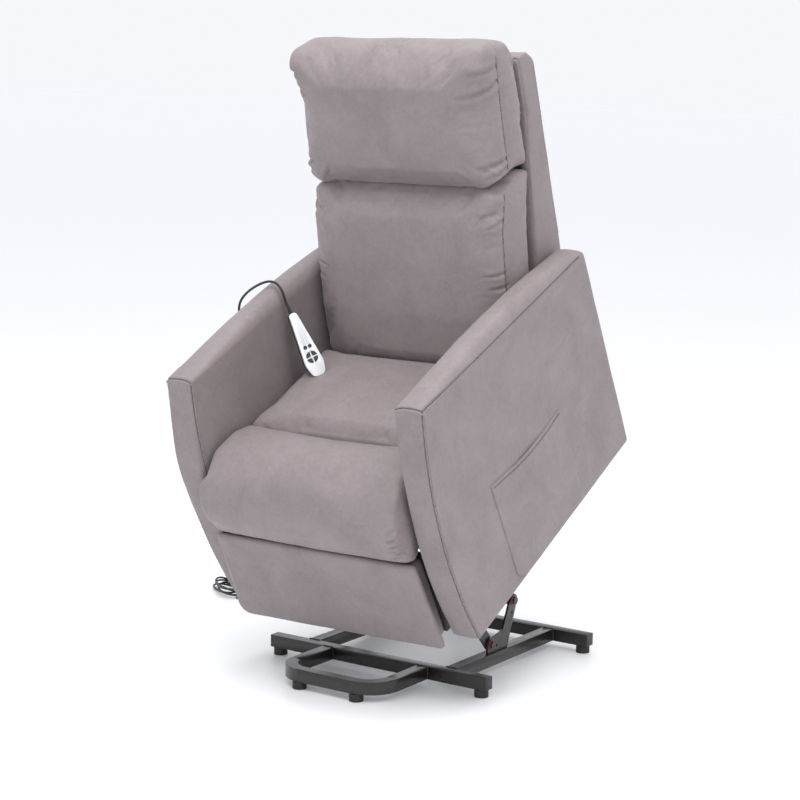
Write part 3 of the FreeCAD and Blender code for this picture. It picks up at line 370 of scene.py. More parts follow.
def pillow(name, corners, low, high, edge, crown=0.0, bulge=0.0, step=6.0, axis="x", net=5.0):
    """A padded form: an outline swept between two planes, its edges rounded, its rim crowned by
    `crown` in the middle of the sweep, and its two side faces bulged. `net` is its mesh size."""
    loop = outline(corners, step)
    loop, ease = loop[:, :2], loop[:, 2:]
    along = np.roll(loop, -1, 0) - np.roll(loop, 1, 0)
    out = np.stack([along[:, 1], -along[:, 0]], 1) / np.linalg.norm(along, axis=1)[:, None]
    out *= area_sign(loop)
    middle = loop.mean(0)
    half = (high - low) / 2
    stations = [(edge * (1 - math.cos(a)), edge * (1 - math.sin(a)))
                for a in np.linspace(0, math.pi / 2, EDGE_STEPS)]
    flat = max(2, int((2 * half - 2 * edge) / step))
    sweep = [(low + d, inset) for d, inset in stations]
    sweep += [(low + edge + (2 * half - 2 * edge) * k / flat, 0) for k in range(1, flat)]
    sweep += [(high - d, inset) for d, inset in reversed(stations)]
    verts, faces = [], []
    total = len(loop)

    def ring(points, across):
        for p in points:
            verts.append((across, p[0], p[1]) if axis == "x" else (p[0], across, p[1]))

    for across, inset in sweep:
        u = (across - low - half) / half
        ring(loop + out * (crown * (1 - u * u) - inset) * ease, across)
    rows = len(sweep)
    for r in range(rows - 1):
        for k in range(total):
            n = (k + 1) % total
            faces.append((r * total + k, r * total + n, (r + 1) * total + n, (r + 1) * total + k))
    rings = max(3, int(min(np.ptp(loop[:, 0]), np.ptp(loop[:, 1])) / 2 / (step * 1.6)))
    for end, first, way in ((low, 0, -1), (high, (rows - 1) * total, 1)):
        rim = loop - out * edge * ease
        start = first
        for k in range(1, rings):
            s = 1 - k / rings
            lift = bulge * (1 - s * s) ** 0.8
            base = len(verts)
            ring(middle + (rim - middle) * s, end + way * lift)
            for i in range(total):
                n = (i + 1) % total
                faces.append((start + i, start + n, base + n, base + i))
            start = base
        tip = len(verts)
        ring([middle], end + way * bulge)
        for i in range(total):
            faces.append((start + i, start + (i + 1) % total, tip))
    thing = add(name, verts, faces, COVER)
    even(thing, net)
    return thing


def even(thing, voxel):
    """Rebuild a skin as an even net, and smooth off its steps."""
    net = thing.modifiers.new("net", "REMESH")
    net.mode = "VOXEL"
    net.voxel_size = voxel * MM
    ease = thing.modifiers.new("ease", "SMOOTH")
    ease.factor = 0.5
    ease.iterations = 4
    mat = thing.data.materials[0]
    apply_all(thing)
    thing.data.materials.clear()
    thing.data.materials.append(mat)
    thing.data.shade_smooth()


def vertices(thing, key="co"):
    """An array of one vector for each vertex."""
    found = np.zeros(len(thing.data.vertices) * 3)
    thing.data.vertices.foreach_get(key, found)
    return found.reshape(-1, 3)


def reshape(thing, rule):
    """Move the vertices by a rule written in the chair's own millimetres."""
    turn, move = np.array(CHAIR.to_3x3()), np.array(CHAIR.translation)
    local = (vertices(thing) - move) @ turn / MM
    thing.data.vertices.foreach_set("co", ((rule(local) * MM) @ turn.T + move).ravel())
    thing.data.update()


def nudge(thing, spots):
    """Move the skin near each spot (x, y, z, reach, dx, dy, dz), fading with distance."""
    def rule(p):
        moved = p.copy()
        for spot in spots:
            away = np.linalg.norm(p - np.array(spot[:3]), axis=1) / spot[3]
            moved += np.exp(-away * away)[:, None] * np.array(spot[4:])
        return moved
    reshape(thing, rule)


def unsettle(thing, amount, scale=11.0, seed=0.0):
    """Slow, shallow hollows and swells, as a stuffed cover has."""
    mesh = thing.data
    shift = Vector((seed, seed * 2, seed * 3))
    moved = []
    for v in mesh.vertices:
        rise = noise.noise(v.co * scale + shift) + 0.45 * noise.noise(v.co * scale * 2.7 + shift)
        moved.append(v.co + v.normal * rise * amount * MM)
    for v, co in zip(mesh.vertices, moved):
        v.co = co


SIM_FRAMES = 18
PIN_REACH = 9.0


def swell(thing, pressure, cap, pins=()):
    """Inflate a closed skin as cloth, held along its seams, and keep the result. No vertex
    moves more than `cap`."""
    rest = vertices(thing)
    cloth = thing.modifiers.new("cloth", "CLOTH")
    cloth.settings.quality = 4
    cloth.settings.mass = 0.25
    cloth.settings.tension_stiffness = 22
    cloth.settings.compression_stiffness = 18
    cloth.settings.shear_stiffness = 8
    cloth.settings.bending_stiffness = 0.9
    cloth.settings.use_pressure = True
    cloth.settings.uniform_pressure_force = pressure
    cloth.settings.effector_weights.gravity = 0
    cloth.collision_settings.use_collision = False
    cloth.point_cache.frame_end = SIM_FRAMES
    if pins:
        held = thing.vertex_groups.new(name="held")
        close = near_lines(rest, pins, PIN_REACH)
        for k in np.nonzero(close > 0.02)[0]:
            held.add([int(k)], float(close[k]), "REPLACE")
        cloth.settings.vertex_group_mass = "held"
    for number in range(1, SIM_FRAMES + 1):
        scene.frame_set(number)
    graph = bpy.context.evaluated_depsgraph_get()
    swollen = bpy.data.meshes.new_from_object(thing.evaluated_get(graph))
    end = np.zeros(len(swollen.vertices) * 3)
    swollen.vertices.foreach_get("co", end)
    move = end.reshape(-1, 3) - rest
    far = np.linalg.norm(move, axis=1)
    limit = cap * MM
    keep = np.where(far > limit, limit / np.maximum(far, 1e-9), 1.0)
    thing.modifiers.clear()
    thing.vertex_groups.clear()
    thing.data.vertices.foreach_set("co", (rest + move * keep[:, None]).ravel())
    thing.data.update()
    bpy.data.meshes.remove(swollen)
    scene.frame_set(1)


def apply_all(thing):
    """Turn the object's modifiers into its mesh."""
    graph = bpy.context.evaluated_depsgraph_get()
    made = bpy.data.meshes.new_from_object(thing.evaluated_get(graph))
    old = thing.data
    thing.modifiers.clear()
    thing.data = made
    bpy.data.meshes.remove(old)


FAR_OFF = 1e9


def near_lines(points, lines, reach):
    """For each point, 1 on a line falling to 0 at the given reach, in mm."""
    best = np.full(len(points), FAR_OFF)
    for line in lines:
        line = np.array([tuple(CHAIR @ (Vector(p) * MM)) for p in line])
        best = np.minimum(best, gap_to(points, line, reach * MM))
    return np.clip(1 - best / (reach * MM), 0, 1)


def smooth_line(points, step):
    """A curve through the points (Catmull-Rom), evenly spaced."""
    p = [np.array(q, float) for q in points]
    ext = [2 * p[0] - p[1]] + p + [2 * p[-1] - p[-2]]
    path = []
    for a, b, c, d in zip(ext, ext[1:], ext[2:], ext[3:]):
        for t in np.linspace(0, 1, 24, endpoint=False):
            path.append(0.5 * (2 * b + (c - a) * t + (2 * a - 5 * b + 4 * c - d) * t * t
                               + (3 * b - a - 3 * c + d) * t ** 3))
    path.append(ext[-2])
    path = np.array(path)
    lengths = run_lengths(path)
    count = max(2, int(lengths[-1] / step))
    return at_lengths(path, lengths, np.linspace(0, lengths[-1], count))


def gap_to(points, line, reach):
    """Distance from each point to a line, worked out only near it."""
    best = np.full(len(points), FAR_OFF)
    close = np.nonzero(np.all((points > line.min(0) - reach) & (points < line.max(0) + reach),
                              axis=1))[0]
    for a, b in zip(line, line[1:]):
        d = b - a
        t = np.clip(((points[close] - a) @ d) / max(float(d @ d), 1e-12), 0, 1)
        gap = np.linalg.norm(points[close] - a - t[:, None] * d, axis=1)
        best[close] = np.minimum(best[close], gap)
    return best


def refine(thing, line, reach, times):
    """Split a skin's net finer near a line."""
    work = bmesh.new()
    work.from_mesh(thing.data)
    for _ in range(times):
        points = np.array([v.co[:] for v in work.verts])
        near = gap_to(points, line, 2 * reach) < reach
        for v, tag in zip(work.verts, near):
            v.tag = bool(tag)
        edges = [e for e in work.edges if e.verts[0].tag and e.verts[1].tag]
        bmesh.ops.subdivide_edges(work, edges=edges, cuts=1, use_grid_fill=True)
    large = [f for f in work.faces if len(f.verts) > 4]
    bmesh.ops.triangulate(work, faces=large)
    for f in work.faces:
        f.smooth = True
    work.to_mesh(thing.data)
    work.free()


stitches = []
GROOVE_REACH = 0.03  # metres
# Radius in mm of the dark line sunk in each seam's groove: painted groove shade.
GROOVE_SHADE_RADIUS = 0.75
LIP_AT, LIP_WIDTH = 2.8, 1.5  # in groove widths


def seam(thing, points, width=1.7, depth=2.2, stitch=True, side=4.2, taper=False, puff=0.45):
    """Press a groove into a cover along a line, with a raised lip on both sides at LIP_AT groove
    widths. A dark line sunk along the groove, which is painted groove shade, and the stitches,
    `side` mm beside it, are noted down for sew(). A tapered groove dies away at its ends and has
    no painted shade line."""
    tree = BVHTree.FromPolygons([tuple(c) for c in vertices(thing)],
                                [tuple(f.vertices) for f in thing.data.polygons])
    line, ups = [], []
    for p in smooth_line(points, 3.0):
        hit = tree.find_nearest(CHAIR @ (Vector(p) * MM))
        line.append(np.array(hit[0]))
        ups.append(np.array(hit[1]))
    line, ups = np.array(line), np.array(ups)
    refine(thing, line, 4.0 * width * MM, 2 if width < 2.5 else 1)
    co, normal = vertices(thing), vertices(thing, "normal")
    gap = gap_to(co, line, GROOVE_REACH) / (width * MM)
    press = depth * MM * np.exp(-gap ** 2)
    swollen = puff * depth * MM * np.exp(-((gap - LIP_AT) / LIP_WIDTH) ** 2)
    fade = 1.0
    if taper:
        reach = line[-1] - line[0]
        along = np.clip((co - line[0]) @ reach / float(reach @ reach), 0, 1)
        fade = np.sin(math.pi * along) ** 0.7
    co = co - normal * ((press - swollen) * fade)[:, None]
    thing.data.vertices.foreach_set("co", co.ravel())
    thing.data.update()
    spots = []
    if stitch:
        along = np.gradient(line, axis=0)
        along /= np.linalg.norm(along, axis=1)[:, None]
        across = np.cross(ups, along)
        spots = [(line[k] + across[k] * side * MM, along[k], ups[k])
                 for k in range(1, len(line) - 1, 2)]
    if not taper:
        stitches.append((thing, spots, line))


def fold(thing, points, width=3.0, depth=2.5):
    """A short crease or gather that dies away at both ends."""
    seam(thing, points, width, depth, False, taper=True, puff=0.6)


def square_to(way):
    """Two directions square to a way and to each other."""
    aside = way.orthogonal().normalized()
    return aside, way.cross(aside)


def tube(verts, faces, rings, sides):
    """Add a closed tube to a mesh's lists, through rings (middle, one way, other way, radius)."""
    start = len(verts)
    for k, (middle, aside, other, radius) in enumerate(rings):
        first = len(verts)
        for n in range(sides):
            turn = 2 * math.pi * n / sides
            verts.append(middle + (aside * math.cos(turn) + other * math.sin(turn)) * radius)
            if k:
                m = (n + 1) % sides
                faces.append((first + n - sides, first + m - sides, first + m, first + n))
    faces.append(tuple(start + n for n in range(sides)))
    faces.append(tuple(len(verts) - sides + n for n in reversed(range(sides))))


def direction(line, k):
    """The way a line runs at its point k."""
    return Vector(line[min(k + 1, len(line) - 1)] - line[max(k - 1, 0)]).normalized()


# A stitch lies along its seam: (place along it, sunk by, radius) of each ring, in mm.
STITCH = ((-1.9, -0.25, 0.15), (-1.3, 0, 0.45), (1.3, 0, 0.45), (1.9, -0.25, 0.15))
STITCH_LIFT = 0.05


def sew(name, thing, spots, line, body):
    """One mesh: a dark line sunk along the seam's groove, which is painted groove shade, and small
    stitch capsules that lie beside it.
    """
    mesh = thing.data
    tree = BVHTree.FromPolygons([tuple(v.co) for v in mesh.vertices],
                                [tuple(f.vertices) for f in mesh.polygons])
    verts, faces = [], []
    for spot, along, up in spots:
        hit = tree.find_nearest(Vector(spot))
        if hit[0] is None:
            continue
        up = Vector(hit[1])
        along = Vector(along)
        side_way = up.cross(along).normalized()
        base = Vector(hit[0]) + up * STITCH_LIFT * MM
        tube(verts, faces, [(base + along * t * MM + up * sink * MM, side_way, up, r * MM)
                            for t, sink, r in STITCH], 6)
    # The dark line laid along the groove's bottom is painted groove shade.
    laid = [Vector(tree.find_nearest(Vector(p))[0]) for p in line]
    tube(verts, faces, [(here, *square_to(direction(laid, k)), GROOVE_SHADE_RADIUS * MM)
                        for k, here in enumerate(laid)], 6)
    made = add(name, verts, faces, THREAD_AND_GROOVE_SHADE, ROOM, 1.0)
    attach(made, body)


# Degrees: flatter joins are merged, sharper edges are eased, and these stay sharp in shading.
MERGED_BELOW, EASED_ABOVE, SHARP_ABOVE = 1.5, 35, 32


def crisp(node, width, segments):
    """The CAD part with its sharp edges eased."""
    source = frame["nodes"][node]
    thing = bpy.data.objects.new(node + "_eased", source.data.copy())
    scene.collection.objects.link(thing)
    work = bmesh.new()
    work.from_mesh(thing.data)
    bmesh.ops.remove_doubles(work, verts=work.verts, dist=2e-6)
    bmesh.ops.dissolve_limit(work, angle_limit=math.radians(MERGED_BELOW), verts=work.verts,
                             edges=work.edges)
    work.to_mesh(thing.data)
    work.free()
    eased = thing.modifiers.new("eased", "BEVEL")
    eased.width = width * MM
    eased.segments = segments
    eased.limit_method = "ANGLE"
    eased.angle_limit = math.radians(EASED_ABOVE)
    eased.harden_normals = True
    apply_all(thing)
    thing.data.shade_smooth()
    thing.data.set_sharp_from_angle(angle=math.radians(SHARP_ABOVE))
    paint(thing, node)
    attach(thing, body_of_node[node])
    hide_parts(node)


def cushion(thing, body, nodes):
    """Attach a padded piece to its body, and hide the CAD nodes it takes the place of."""
    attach(thing, body)
    if nodes:
        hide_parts(*nodes)


# ---------------------------------------------------------------- cords
def cord_curve(name, points, radius, place):
    """A round cord along the points."""
    data = bpy.data.curves.new(name, "CURVE")
    data.dimensions = "3D"
    line = data.splines.new("NURBS")
    line.points.add(len(points) - 1)
    for point, at in zip(line.points, points):
        point.co = (*(place @ (Vector(at) * MM)), 1)
    line.order_u = 3
    line.use_endpoint_u = True
    data.bevel_depth = radius * MM
    data.bevel_resolution = 5
    data.resolution_u = 10
    data.use_fill_caps = True
    data.materials.append(JACKET)
    thing = bpy.data.objects.new(name, data)
    scene.collection.objects.link(thing)
    return thing


# The handset's cord, in the chair's own millimetres, from the handset to the control box.
EXIT = (-259.09, -338.54, 554.95)
HANDSET_RADIUS, MAINS_RADIUS = 3, 2.75  # mm
HANDSET_CORD = [
    EXIT, (-265.7, -333.9, 569.4), (-268, -330, 586), (-275, -324.5, 601), (-290, -316, 607.5),
    (-310, -311, 609), (-328, -317, 608.5), (-343, -336, 607), (-354, -359, 603),
    (-361, -381, 593), (-361.5, -396, 573), (-361, -402, 545), (-360, -403, 505),
    (-359, -400, 450), (-359, -392, 400), (-359, -389, 330), (-359, -377, 260), (-359, -357, 192),
    (-359, -331, 128), (-360, -306, 78), (-361.5, -288, 38), (-362, -279, 6), (-356, -272, -17),
    (-336, -268.5, -28), (-310, -266, -31), (-285, -265, -25), (-266, -264.5, -9),
    (-259.5, -264.7, 12), (-260, -266, 36), (-261, -269, 60),
]
handset_cord = cord_curve("handset_flex", HANDSET_CORD, HANDSET_RADIUS, CHAIR)
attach(handset_cord, "chassis")
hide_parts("handset_cord")

# The mains cord, in the room's millimetres: its run along the floor, a gathered hank, the tail.
MAINS_CORD = [
    (-281, 251.5, 33), (-300, 251.8, 31), (-324, 253, 20), (-350, 256.5, 8),
    (-382, 262, 2.9), (-424, 272, 2.8), (-478, 283, 2.9), (-536, 287, 2.8), (-592, 280, 2.9),
    (-642, 262, 2.8),
]
HANK_MIDDLE, HANK_WAY = (-765, 281), math.atan2(0.6, -0.8)
HANK_LONG, HANK_SHORT, TURN_RISE = 70.0, 25.0, 5.7
TURNS, PER_TURN = 4, 14


def hank_point(turn):
    """A point of the loosely gathered hank, `turn` turns up from the floor."""
    way = HANK_WAY + 0.16 * math.sin(2.6 * turn)
    angle = math.pi + 2 * math.pi * turn
    u = (HANK_LONG + 7.0 * math.sin(2.1 * turn + 1.0)) * math.cos(angle)
    v = (HANK_SHORT + 6.0 * math.sin(3.7 * turn)) * math.sin(angle)
    return (HANK_MIDDLE[0] + u * math.cos(way) - v * math.sin(way),
            HANK_MIDDLE[1] + u * math.sin(way) + v * math.cos(way), 2.85 + TURN_RISE * turn)


mains = list(MAINS_CORD) + [hank_point(k / PER_TURN) for k in range(TURNS * PER_TURN + 1)]
mains += [(-694, 250, 21), (-684, 272, 12), (-668, 288, 5), (-645, 299, 3.0), (-622, 312, 5.5),
          (-598, 324, 9)]
mains_cord = cord_curve("mains_flex", mains, MAINS_RADIUS, ROOM)
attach(mains_cord, "base")
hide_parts("power_cord", "power_cord_hank", "power_cord_tail")

# ---------------------------------------------------------------- upholstery
# All sizes here are the chair's own millimetres. The cushions are HALF wide to each side, and each
# arm lies between ARM_IN and ARM_OUT.
HALF = 262.0
ARM_OUT, ARM_IN = 349.0, 276.4
TOP_SEAM = ((-698, 592), (18, 532))


def top_line(y):
    """The height of an arm's top seam at y."""
    (y0, z0), (y1, z1) = TOP_SEAM
    return z0 + (y - y0) * (z1 - z0) / (y1 - y0)


def bow(z):
    """The front edge of a side panel: y at a height."""
    return -698 - 46 * (594 - z) / 594 - 42 * (1 - ((z - 297) / 297) ** 2)


def crown_arm(p):
    """Lower the padded top towards the two long edges of the arm."""
    moved = p.copy()
    inward = np.minimum(ARM_OUT - np.abs(p[:, 0]), np.abs(p[:, 0]) - ARM_IN)
    t = np.clip(inward / 30, 0, 1)
    line = top_line(p[:, 1])
    over = p[:, 2] - line
    moved[:, 2] = np.where(over > 0, line + over * (0.1 + 0.9 * np.sqrt(1 - (1 - t) ** 2)), p[:, 2])
    return moved


ARM = [(-698, 597, 7), (bow(480), 480, 900), (bow(380), 380, 900), (bow(290), 290, 900),
       (bow(200), 200, 900), (bow(100), 100, 900), (-744, 1, 8), (0, 1, 8), (17, 541, 24),
       (-115, 567, 500), (-225, 584, 900), (-335, 595, 900), (-460, 601, 900), (-580, 602, 900)]
FULLNESS, FULLEST_AT = 14, 410


def fuller(p):
    """The right arm's front is a little fuller at its middle."""
    moved = p.copy()
    front = np.clip((-600 - p[:, 1]) / 100, 0, 1)
    moved[:, 1] -= FULLNESS * front * np.exp(-((p[:, 2] - FULLEST_AT) / 105) ** 2)
    return moved


def span(side, inner, outer):
    """The low and high x of a piece on one side of the chair: 1 is the left, -1 the right."""
    return (inner, outer) if side > 0 else (-outer, -inner)


SIDES = ((1, "left"), (-1, "right"))
for side, word in SIDES:
    low, high = span(side, ARM_IN, ARM_OUT)
    arm = pillow(word + "_arm_cover", ARM, low, high, 7, 1.5, 0.6)
    reshape(arm, crown_arm)
    if side < 0:
        reshape(arm, fuller)
    unsettle(arm, 0.8, 9.0, side)
    outer, inner = side * 347, side * 278.5
    fronts = [(bow(z) + 3, z) for z in (585, 480, 380, 290, 200, 100, 8)]
    seam(arm, [(outer, y, top_line(y)) for y in (-694, -500, -300, -120, -12)], side=4.2 * side)
    seam(arm, [(outer, y, z) for y, z in fronts], side=4.2 * side)
    seam(arm, [(inner, y, z) for y, z in fronts], side=-4.2 * side)
    seam(arm, [(inner, -696, 590), (side * 296, -697, 598), (side * 318, -697, 599),
               (side * 338, -696, 596), (outer, -695, 588)], stitch=False)
    cushion(arm, "chassis", [word + "_arm"])

POCKET = [(-556, 34, 4), (-532, 12, 14), (-239, 12, 10), (-239, 272, 3), (-330, 266, 300),
          (-440, 271, 300), (-556, 288, 3)]
pocket = pillow("pocket_panel", POCKET, 347.2, 352.4, 2.0, 0.0, 0.4, 5.0, net=1.9)
unsettle(pocket, 0.4, 14.0, 3.0)
nudge(pocket, [(352, -400, 272, 70, 2.6, 0, 0)])
seam(pocket, [(354, -548, 278), (354, -440, 262), (354, -330, 257), (354, -246, 262)], 1.8, 0.7,
     side=3.0)
cushion(pocket, "chassis", ["side_pocket"])

PAD = [(-288, 225, 8), (-300, 60, 900), (-306, -20, 44), (274, -9, 9), (263, 225, 8)]
pad = pillow("footrest_cover", PAD, -786, -768.6, 7, 0, 1.6, 7.0, axis="y", net=4.0)
unsettle(pad, 0.9, 8.0, 5.0)
for x, foot in ((-292, -298), (256, 262)):
    fold(pad, [(x, -786, 205), (x, -787, 110), (foot, -786, 34)], 3.0, 1.0)
cushion(pad, "footrest", ["footrest_pad"])
FILLING = [(-250, 213, 10), (-250, -16, 30), (250, -16, 30), (250, 213, 10)]
filling = pillow("footrest_filling", FILLING, -771, -731, 4, 0, 0, 7.0, axis="y")
cushion(filling, "footrest", [])

SEAT = [(-588, 252, 4, 0.4), (-590, 396, 14, 0.5), (-560, 404, 30), (-430, 402, 400),
        (-262, 394, 20), (-262, 252, 4, 0.4)]
seat = pillow("seat_cover", SEAT, -HALF, HALF, 16, 3, 2)
swell(seat, 2.5, 8)
unsettle(seat, 1.0, 9.0, 7.0)
cushion(seat, "chassis", ["seat_cushion"])

ROLL = [(-584, 254, 4, 0.3), (-712, 253, 6, 0.3), (-756, 224, 12, 0.7), (-784, 234, 20),
        (-804, 276, 40), (-806, 330, 60), (-776, 388, 60), (-716, 423, 60), (-640, 420, 60),
        (-584, 397, 8, 0.5)]
roll = pillow("seat_roll_cover", ROLL, -HALF - 4, HALF - 1, 15, 3, 3)
SPREAD = 19


def over_arm(p):
    """The roll's right end spreads over the front of the arm beside it."""
    out = np.clip((-p[:, 0] - 190) / 70, 0, 1)
    forward = np.clip((-768 - p[:, 1]) / 16, 0, 1)
    moved = p.copy()
    moved[:, 0] -= SPREAD * out * forward
    return moved


reshape(roll, over_arm)
RIM = [(y, z) for y, z, *rest in ROLL[2:]]
swell(roll, 3.0, 10, [[(side * (HALF - 6), y, z) for y, z in RIM] for side in (-1, 1)])
unsettle(roll, 1.2, 9.0, 9.0)
nudge(roll, [(262, -795, 262, 26, -9, 6, 5), (262, -720, 425, 26, -5, 3, -5),
             (-266, -795, 262, 20, 3, 4, 3), (0, -806, 300, 150, 0, -3, 0)])
for z, reach in ((254, 226), (268, 232), (283, 222), (299, 234), (316, 226), (336, 236)):
    fold(roll, [(262, -788, z + 3), (248, -802, z), (reach, -810, z - 5)], 3.4, 3.4)
cushion(roll, "chassis", ["seat_front_roll"])

LUMBAR = [(-131, 768, 9), (-165, 700, 200), (-194, 624, 200), (-238, 500, 200), (-264, 395, 60),
          (-260, 345, 26), (-240, 327, 12), (-134, 327, 6, 0.2), (14, 754, 8, 0.1),
          (-22, 768, 8, 0.4)]
lumbar = pillow("lower_back_cover", LUMBAR, -HALF + 1, HALF - 1, 32, 5, 2)
LUMBAR_SEAM = [(-100, 752), (-140, 690), (-166, 624), (-208, 500), (-232, 400)]
seam_y, seam_z = zip(*LUMBAR_SEAM)
swell(lumbar, 3.0, 12, [[(side * HALF, y, z) for y, z in LUMBAR_SEAM] for side in (-1, 1)])
unsettle(lumbar, 1.2, 8.0, 11.0)
for side in (-1, 1):
    seam(lumbar, [(side * HALF, y, z) for y, z in LUMBAR_SEAM], side=-3.6 * side)
    for z, drop, reach in ((728, 10, 62), (706, 14, 40), (590, -8, 44), (560, -10, 30)):
        y = np.interp(-z, -np.array(seam_z), seam_y)
        fold(lumbar, [(side * HALF, y + 12, z + 2), (side * (HALF - 10), y - 22, z - drop / 2),
                      (side * (HALF - reach), y - 38, z - drop)], 3.2, 2.0)
cushion(lumbar, "back", ["lower_back_cushion"])

HEAD = [(13, 1078, 18, 0.7), (-40, 1076, 30), (-80, 1056, 26), (-95, 987, 90), (-124, 858, 120),
        (-133, 796, 20), (-124, 768, 9), (-20, 768, 8, 0.4), (15, 761, 4, 0.1),
        (56, 880, 200, 0.08), (75, 1001, 60, 0.15), (64, 1053, 18, 0.4)]
head = pillow("head_cover", HEAD, -HALF + 1, HALF - 1, 40, 4, 2)
HEAD_SEAM = [(-7, 1045), (-22, 980), (-44, 890), (-68, 790)]
swell(head, 3.5, 12, [[(side * HALF, y, z) for y, z in HEAD_SEAM] for side in (-1, 1)])
unsettle(head, 1.4, 9.0, 13.0)
nudge(head, [(-248, -50, 1060, 44, -12, -6, 10), (248, -34, 1066, 40, 9, -4, 16),
             (244, -124, 786, 40, 0, 5, 7),
             (-110, -40, 1078, 80, 0, 0, -4), (120, -40, 1078, 80, 0, 0, -4),
             (-262, -70, 950, 60, 5, 0, 0), (-262, -90, 880, 44, -3, 0, 0),
             (-250, -118, 795, 34, -4, 0, 0)])
for side in (-1, 1):
    seam(head, [(side * HALF, y, z) for y, z in HEAD_SEAM], side=-3.6 * side)
    for y, z, y2, z2, reach in ((4, 1000, -86, 984, 74), (-8, 1026, -72, 1040, 40),
                                (-48, 822, -122, 828, 50), (-62, 806, -120, 800, 30)):
        fold(head, [(side * HALF, y, z), (side * (HALF - 9), (y + y2) / 2 - 8, (z + z2) / 2),
                    (side * (HALF - reach), y2, z2)], 4.2, 4.4)
cushion(head, "back", ["head_cushion"])

BORDER = [(-126, 346, 10), (14, 750, 40), (54, 880, 60), (72, 998, 10), (98, 990, 8),
          (108, 960, 30), (20, 500, 60), (-20, 330, 10)]
for side, word in SIDES:
    low, high = span(side, 234.0, 263.0)
    border = pillow("back_border_" + word, BORDER, low, high, 4, 0, 0, 7.0, net=4.5)
    cushion(border, "back", [])

WING = [(5, 285, 6), (132, 967, 12), (112, 996, 14), (76, 1002, 10), (57, 878, 60),
        (-59, 534, 100), (-120, 353, 20), (-75, 285, 8)]
for side, word in SIDES:
    low, high = span(side, 254.0, 266.0)
    wing = pillow("shell_wing_" + word, WING, low, high, 4, 0, 1.5, 7.0, net=3.6)
    unsettle(wing, 0.8, 9.0, 15.0 + side)
    edge_x = side * 265
    seam(wing, [(edge_x, 60, 560), (edge_x, 82, 700), (edge_x, 106, 850), (edge_x, 124, 955)],
         stitch=False)
    cushion(wing, "back", [])
REAR = [(-4, 288, 2), (5, 287, 2), (131, 966, 10), (112, 995, 12), (78, 1000, 4), (76, 992, 2),
        (108, 986, 6), (120, 966, 6)]
rear = pillow("shell_rear", REAR, -262, 262, 3, 0, 0, 7.0, net=3.6)
unsettle(rear, 0.8, 7.0, 18.0)
cushion(rear, "back", ["back_shell"])

# ---------------------------------------------------------------- hard pieces
# How much the sharp edges are eased, in mm, and of which pieces.
EASED_BASE = (
    (1.5, ("front_crossbar", "rear_crossbar", "left_rail", "right_rail", "front_loop",
           "bar_end_caps")),
    (0.6, ("left_lift_bracket", "right_lift_bracket", "pivot_bushes", "lift_pivot_bolts",
           "lift_motor_bracket", "base_feet")),
)
EASED_REST = (
    (1.2, ("power_supply", "mains_plug", "control_box")),
    (1.3, ("handset_front", "handset_back")),
    (0.5, ("lower_lift_links", "upper_lift_links", "lift_drive", "left_side_plate",
           "right_side_plate", "front_cross_tube", "rear_cross_tube", "footrest_arm_links",
           "footrest_long_links", "footrest_guide_links", "footrest_hangers", "footrest_drive",
           "back_drive")),
)


def crisp_all(groups):
    """Ease the pieces of each group. The handset is rounded in finer steps."""
    for width, parts in groups:
        for part in parts:
            crisp(part, width, 3 if part.startswith("handset") else 2)


crisp_all(EASED_BASE)
BEAD_RADIUS, BEAD_STEP, BEAD_RIPPLE = 2.0, 0.8, 3.4


def weld(name, runs):
    """Rippled beads along straight runs, in the room's millimetres."""
    verts, faces = [], []
    for a, b in runs:
        a, b = Vector(a), Vector(b)
        way = (b - a).normalized()
        count = int((b - a).length / BEAD_STEP)
        rings = []
        for k in range(count + 1):
            far = (b - a).length * k / count
            r = BEAD_RADIUS * (1 + 0.16 * math.sin(2 * math.pi * far / BEAD_RIPPLE))
            r *= 0.35 if k in (0, count) else 1.0
            rings.append((a + way * far, *square_to(way), r))
        tube(verts, faces, rings, 8)
    made = add(name, verts, faces, STEEL, ROOM)
    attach(made, "base")


def joint_runs(x0, x1, y):
    """The two sides and the top of a square bar that meets another at y."""
    return [((x0, y, 20), (x0, y, 48)), ((x1, y, 20), (x1, y, 48)), ((x0, y, 48), (x1, y, 48))]


beads = []
for side in (-1, 1):
    beads += joint_runs(side * 182, side * 212, -86.5) + joint_runs(side * 182, side * 212, 341.5)
    beads += joint_runs(side * 120, side * 150, -116.5)
weld("weld_beads", beads)
crisp_all(EASED_REST)
RIB_DEPTH = 0.45


def relief(name, body, points, first_radius, last_radius, place, replaced=()):
    """A ribbed, tapered sleeve where a cord leaves its housing."""
    line = smooth_line(points, 0.6)
    rings = []
    for k, here in enumerate(line):
        t = k / (len(line) - 1)
        r = first_radius + (last_radius - first_radius) * t
        r -= RIB_DEPTH if 0.25 < t < 0.9 and k % 6 in (0, 1) else 0.0
        rings.append((Vector(here), *square_to(direction(line, k)), r))
    verts, faces = [], []
    tube(verts, faces, rings, 20)
    made = add(name, verts, faces, BLACK, place)
    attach(made, body)
    if replaced:
        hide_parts(*replaced)


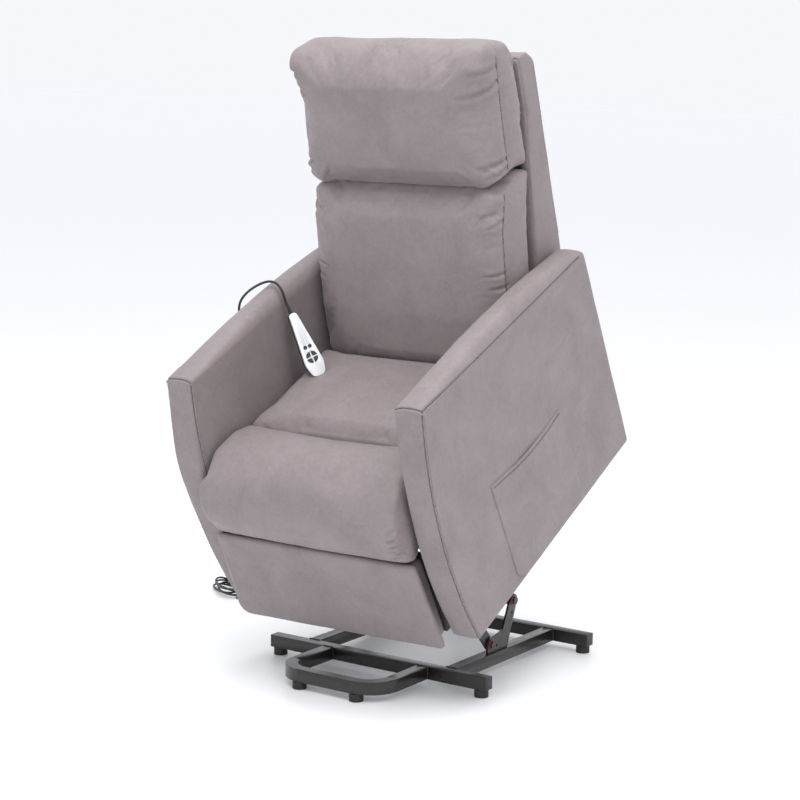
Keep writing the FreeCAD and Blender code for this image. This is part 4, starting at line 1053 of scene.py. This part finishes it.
HANDSET_UP = Vector((-0.39885, 0.27856, 0.87368))
sleeve = [Vector(EXIT) + HANDSET_UP * far for far in (-14, 0, 11)]
relief("handset_relief", "chassis", sleeve, 4.4, 3.35, CHAIR, ["handset_cord_collar"])
relief("gland_relief", "base", [(-281, 251.5, 33), (-291, 251.6, 32.1), (-303, 252.0, 29.9)], 4.2,
       3.1, ROOM)

# Each seam gets its stitches and its dark line of painted groove shade.
for k, (thing, spots, line) in enumerate(stitches):
    sew("stitches_%d" % k, thing, spots, line, body_of(thing)[0])

# ---------------------------------------------------------------- studio and light
FLOOR_HALF, FLOOR_AT = 40, -0.0004  # metres: half its width, and a hair below the feet
SKY = (0.925, 0.935, 0.97, 1)
floor_mat, floor_nodes, floor_links, floor_shader = shader("floor", (0.93, 0.935, 0.945), 0.4)
floor_links.new(ramp(floor_nodes, floor_links,
                     noise_node(floor_nodes, floor_links, coordinates(floor_nodes), 3, 2),
                     [(0.3, (0.36,) * 3), (0.7, (0.44,) * 3)]), floor_shader.inputs["Roughness"])
floor_shader.inputs["Emission Color"].default_value = (0.93, 0.95, 1.0, 1)
floor_shader.inputs["Emission Strength"].default_value = 0.05
corners = [(u * FLOOR_HALF, v * FLOOR_HALF, FLOOR_AT)
           for u, v in ((-1, -1), (1, -1), (1, 1), (-1, 1))]
floor = add("studio_floor", corners, [(0, 1, 2, 3)], floor_mat, ROOM, 1.0)

world = bpy.data.worlds.new("studio")
scene.world = world
world.use_nodes = True
background = world.node_tree.nodes["Background"]
background.inputs["Color"].default_value = SKY
background.inputs["Strength"].default_value = 1.0
scene.view_settings.view_transform = "Standard"


def area_light(name, at, towards, size, power):
    """A square soft light."""
    light = bpy.data.lights.new(name, "AREA")
    light.shape = "SQUARE"
    light.size = size
    light.energy = power
    thing = bpy.data.objects.new(name, light)
    scene.collection.objects.link(thing)
    thing.location = at
    thing.rotation_euler = (Vector(towards) - Vector(at)).to_track_quat("-Z", "Y").to_euler()


area_light("top", (0.3, -0.8, 4.2), (0, 0, 0.6), 3.2, 120)
area_light("side", (2.4, -2.0, 3.2), (0, 0, 0.7), 2.0, 27)
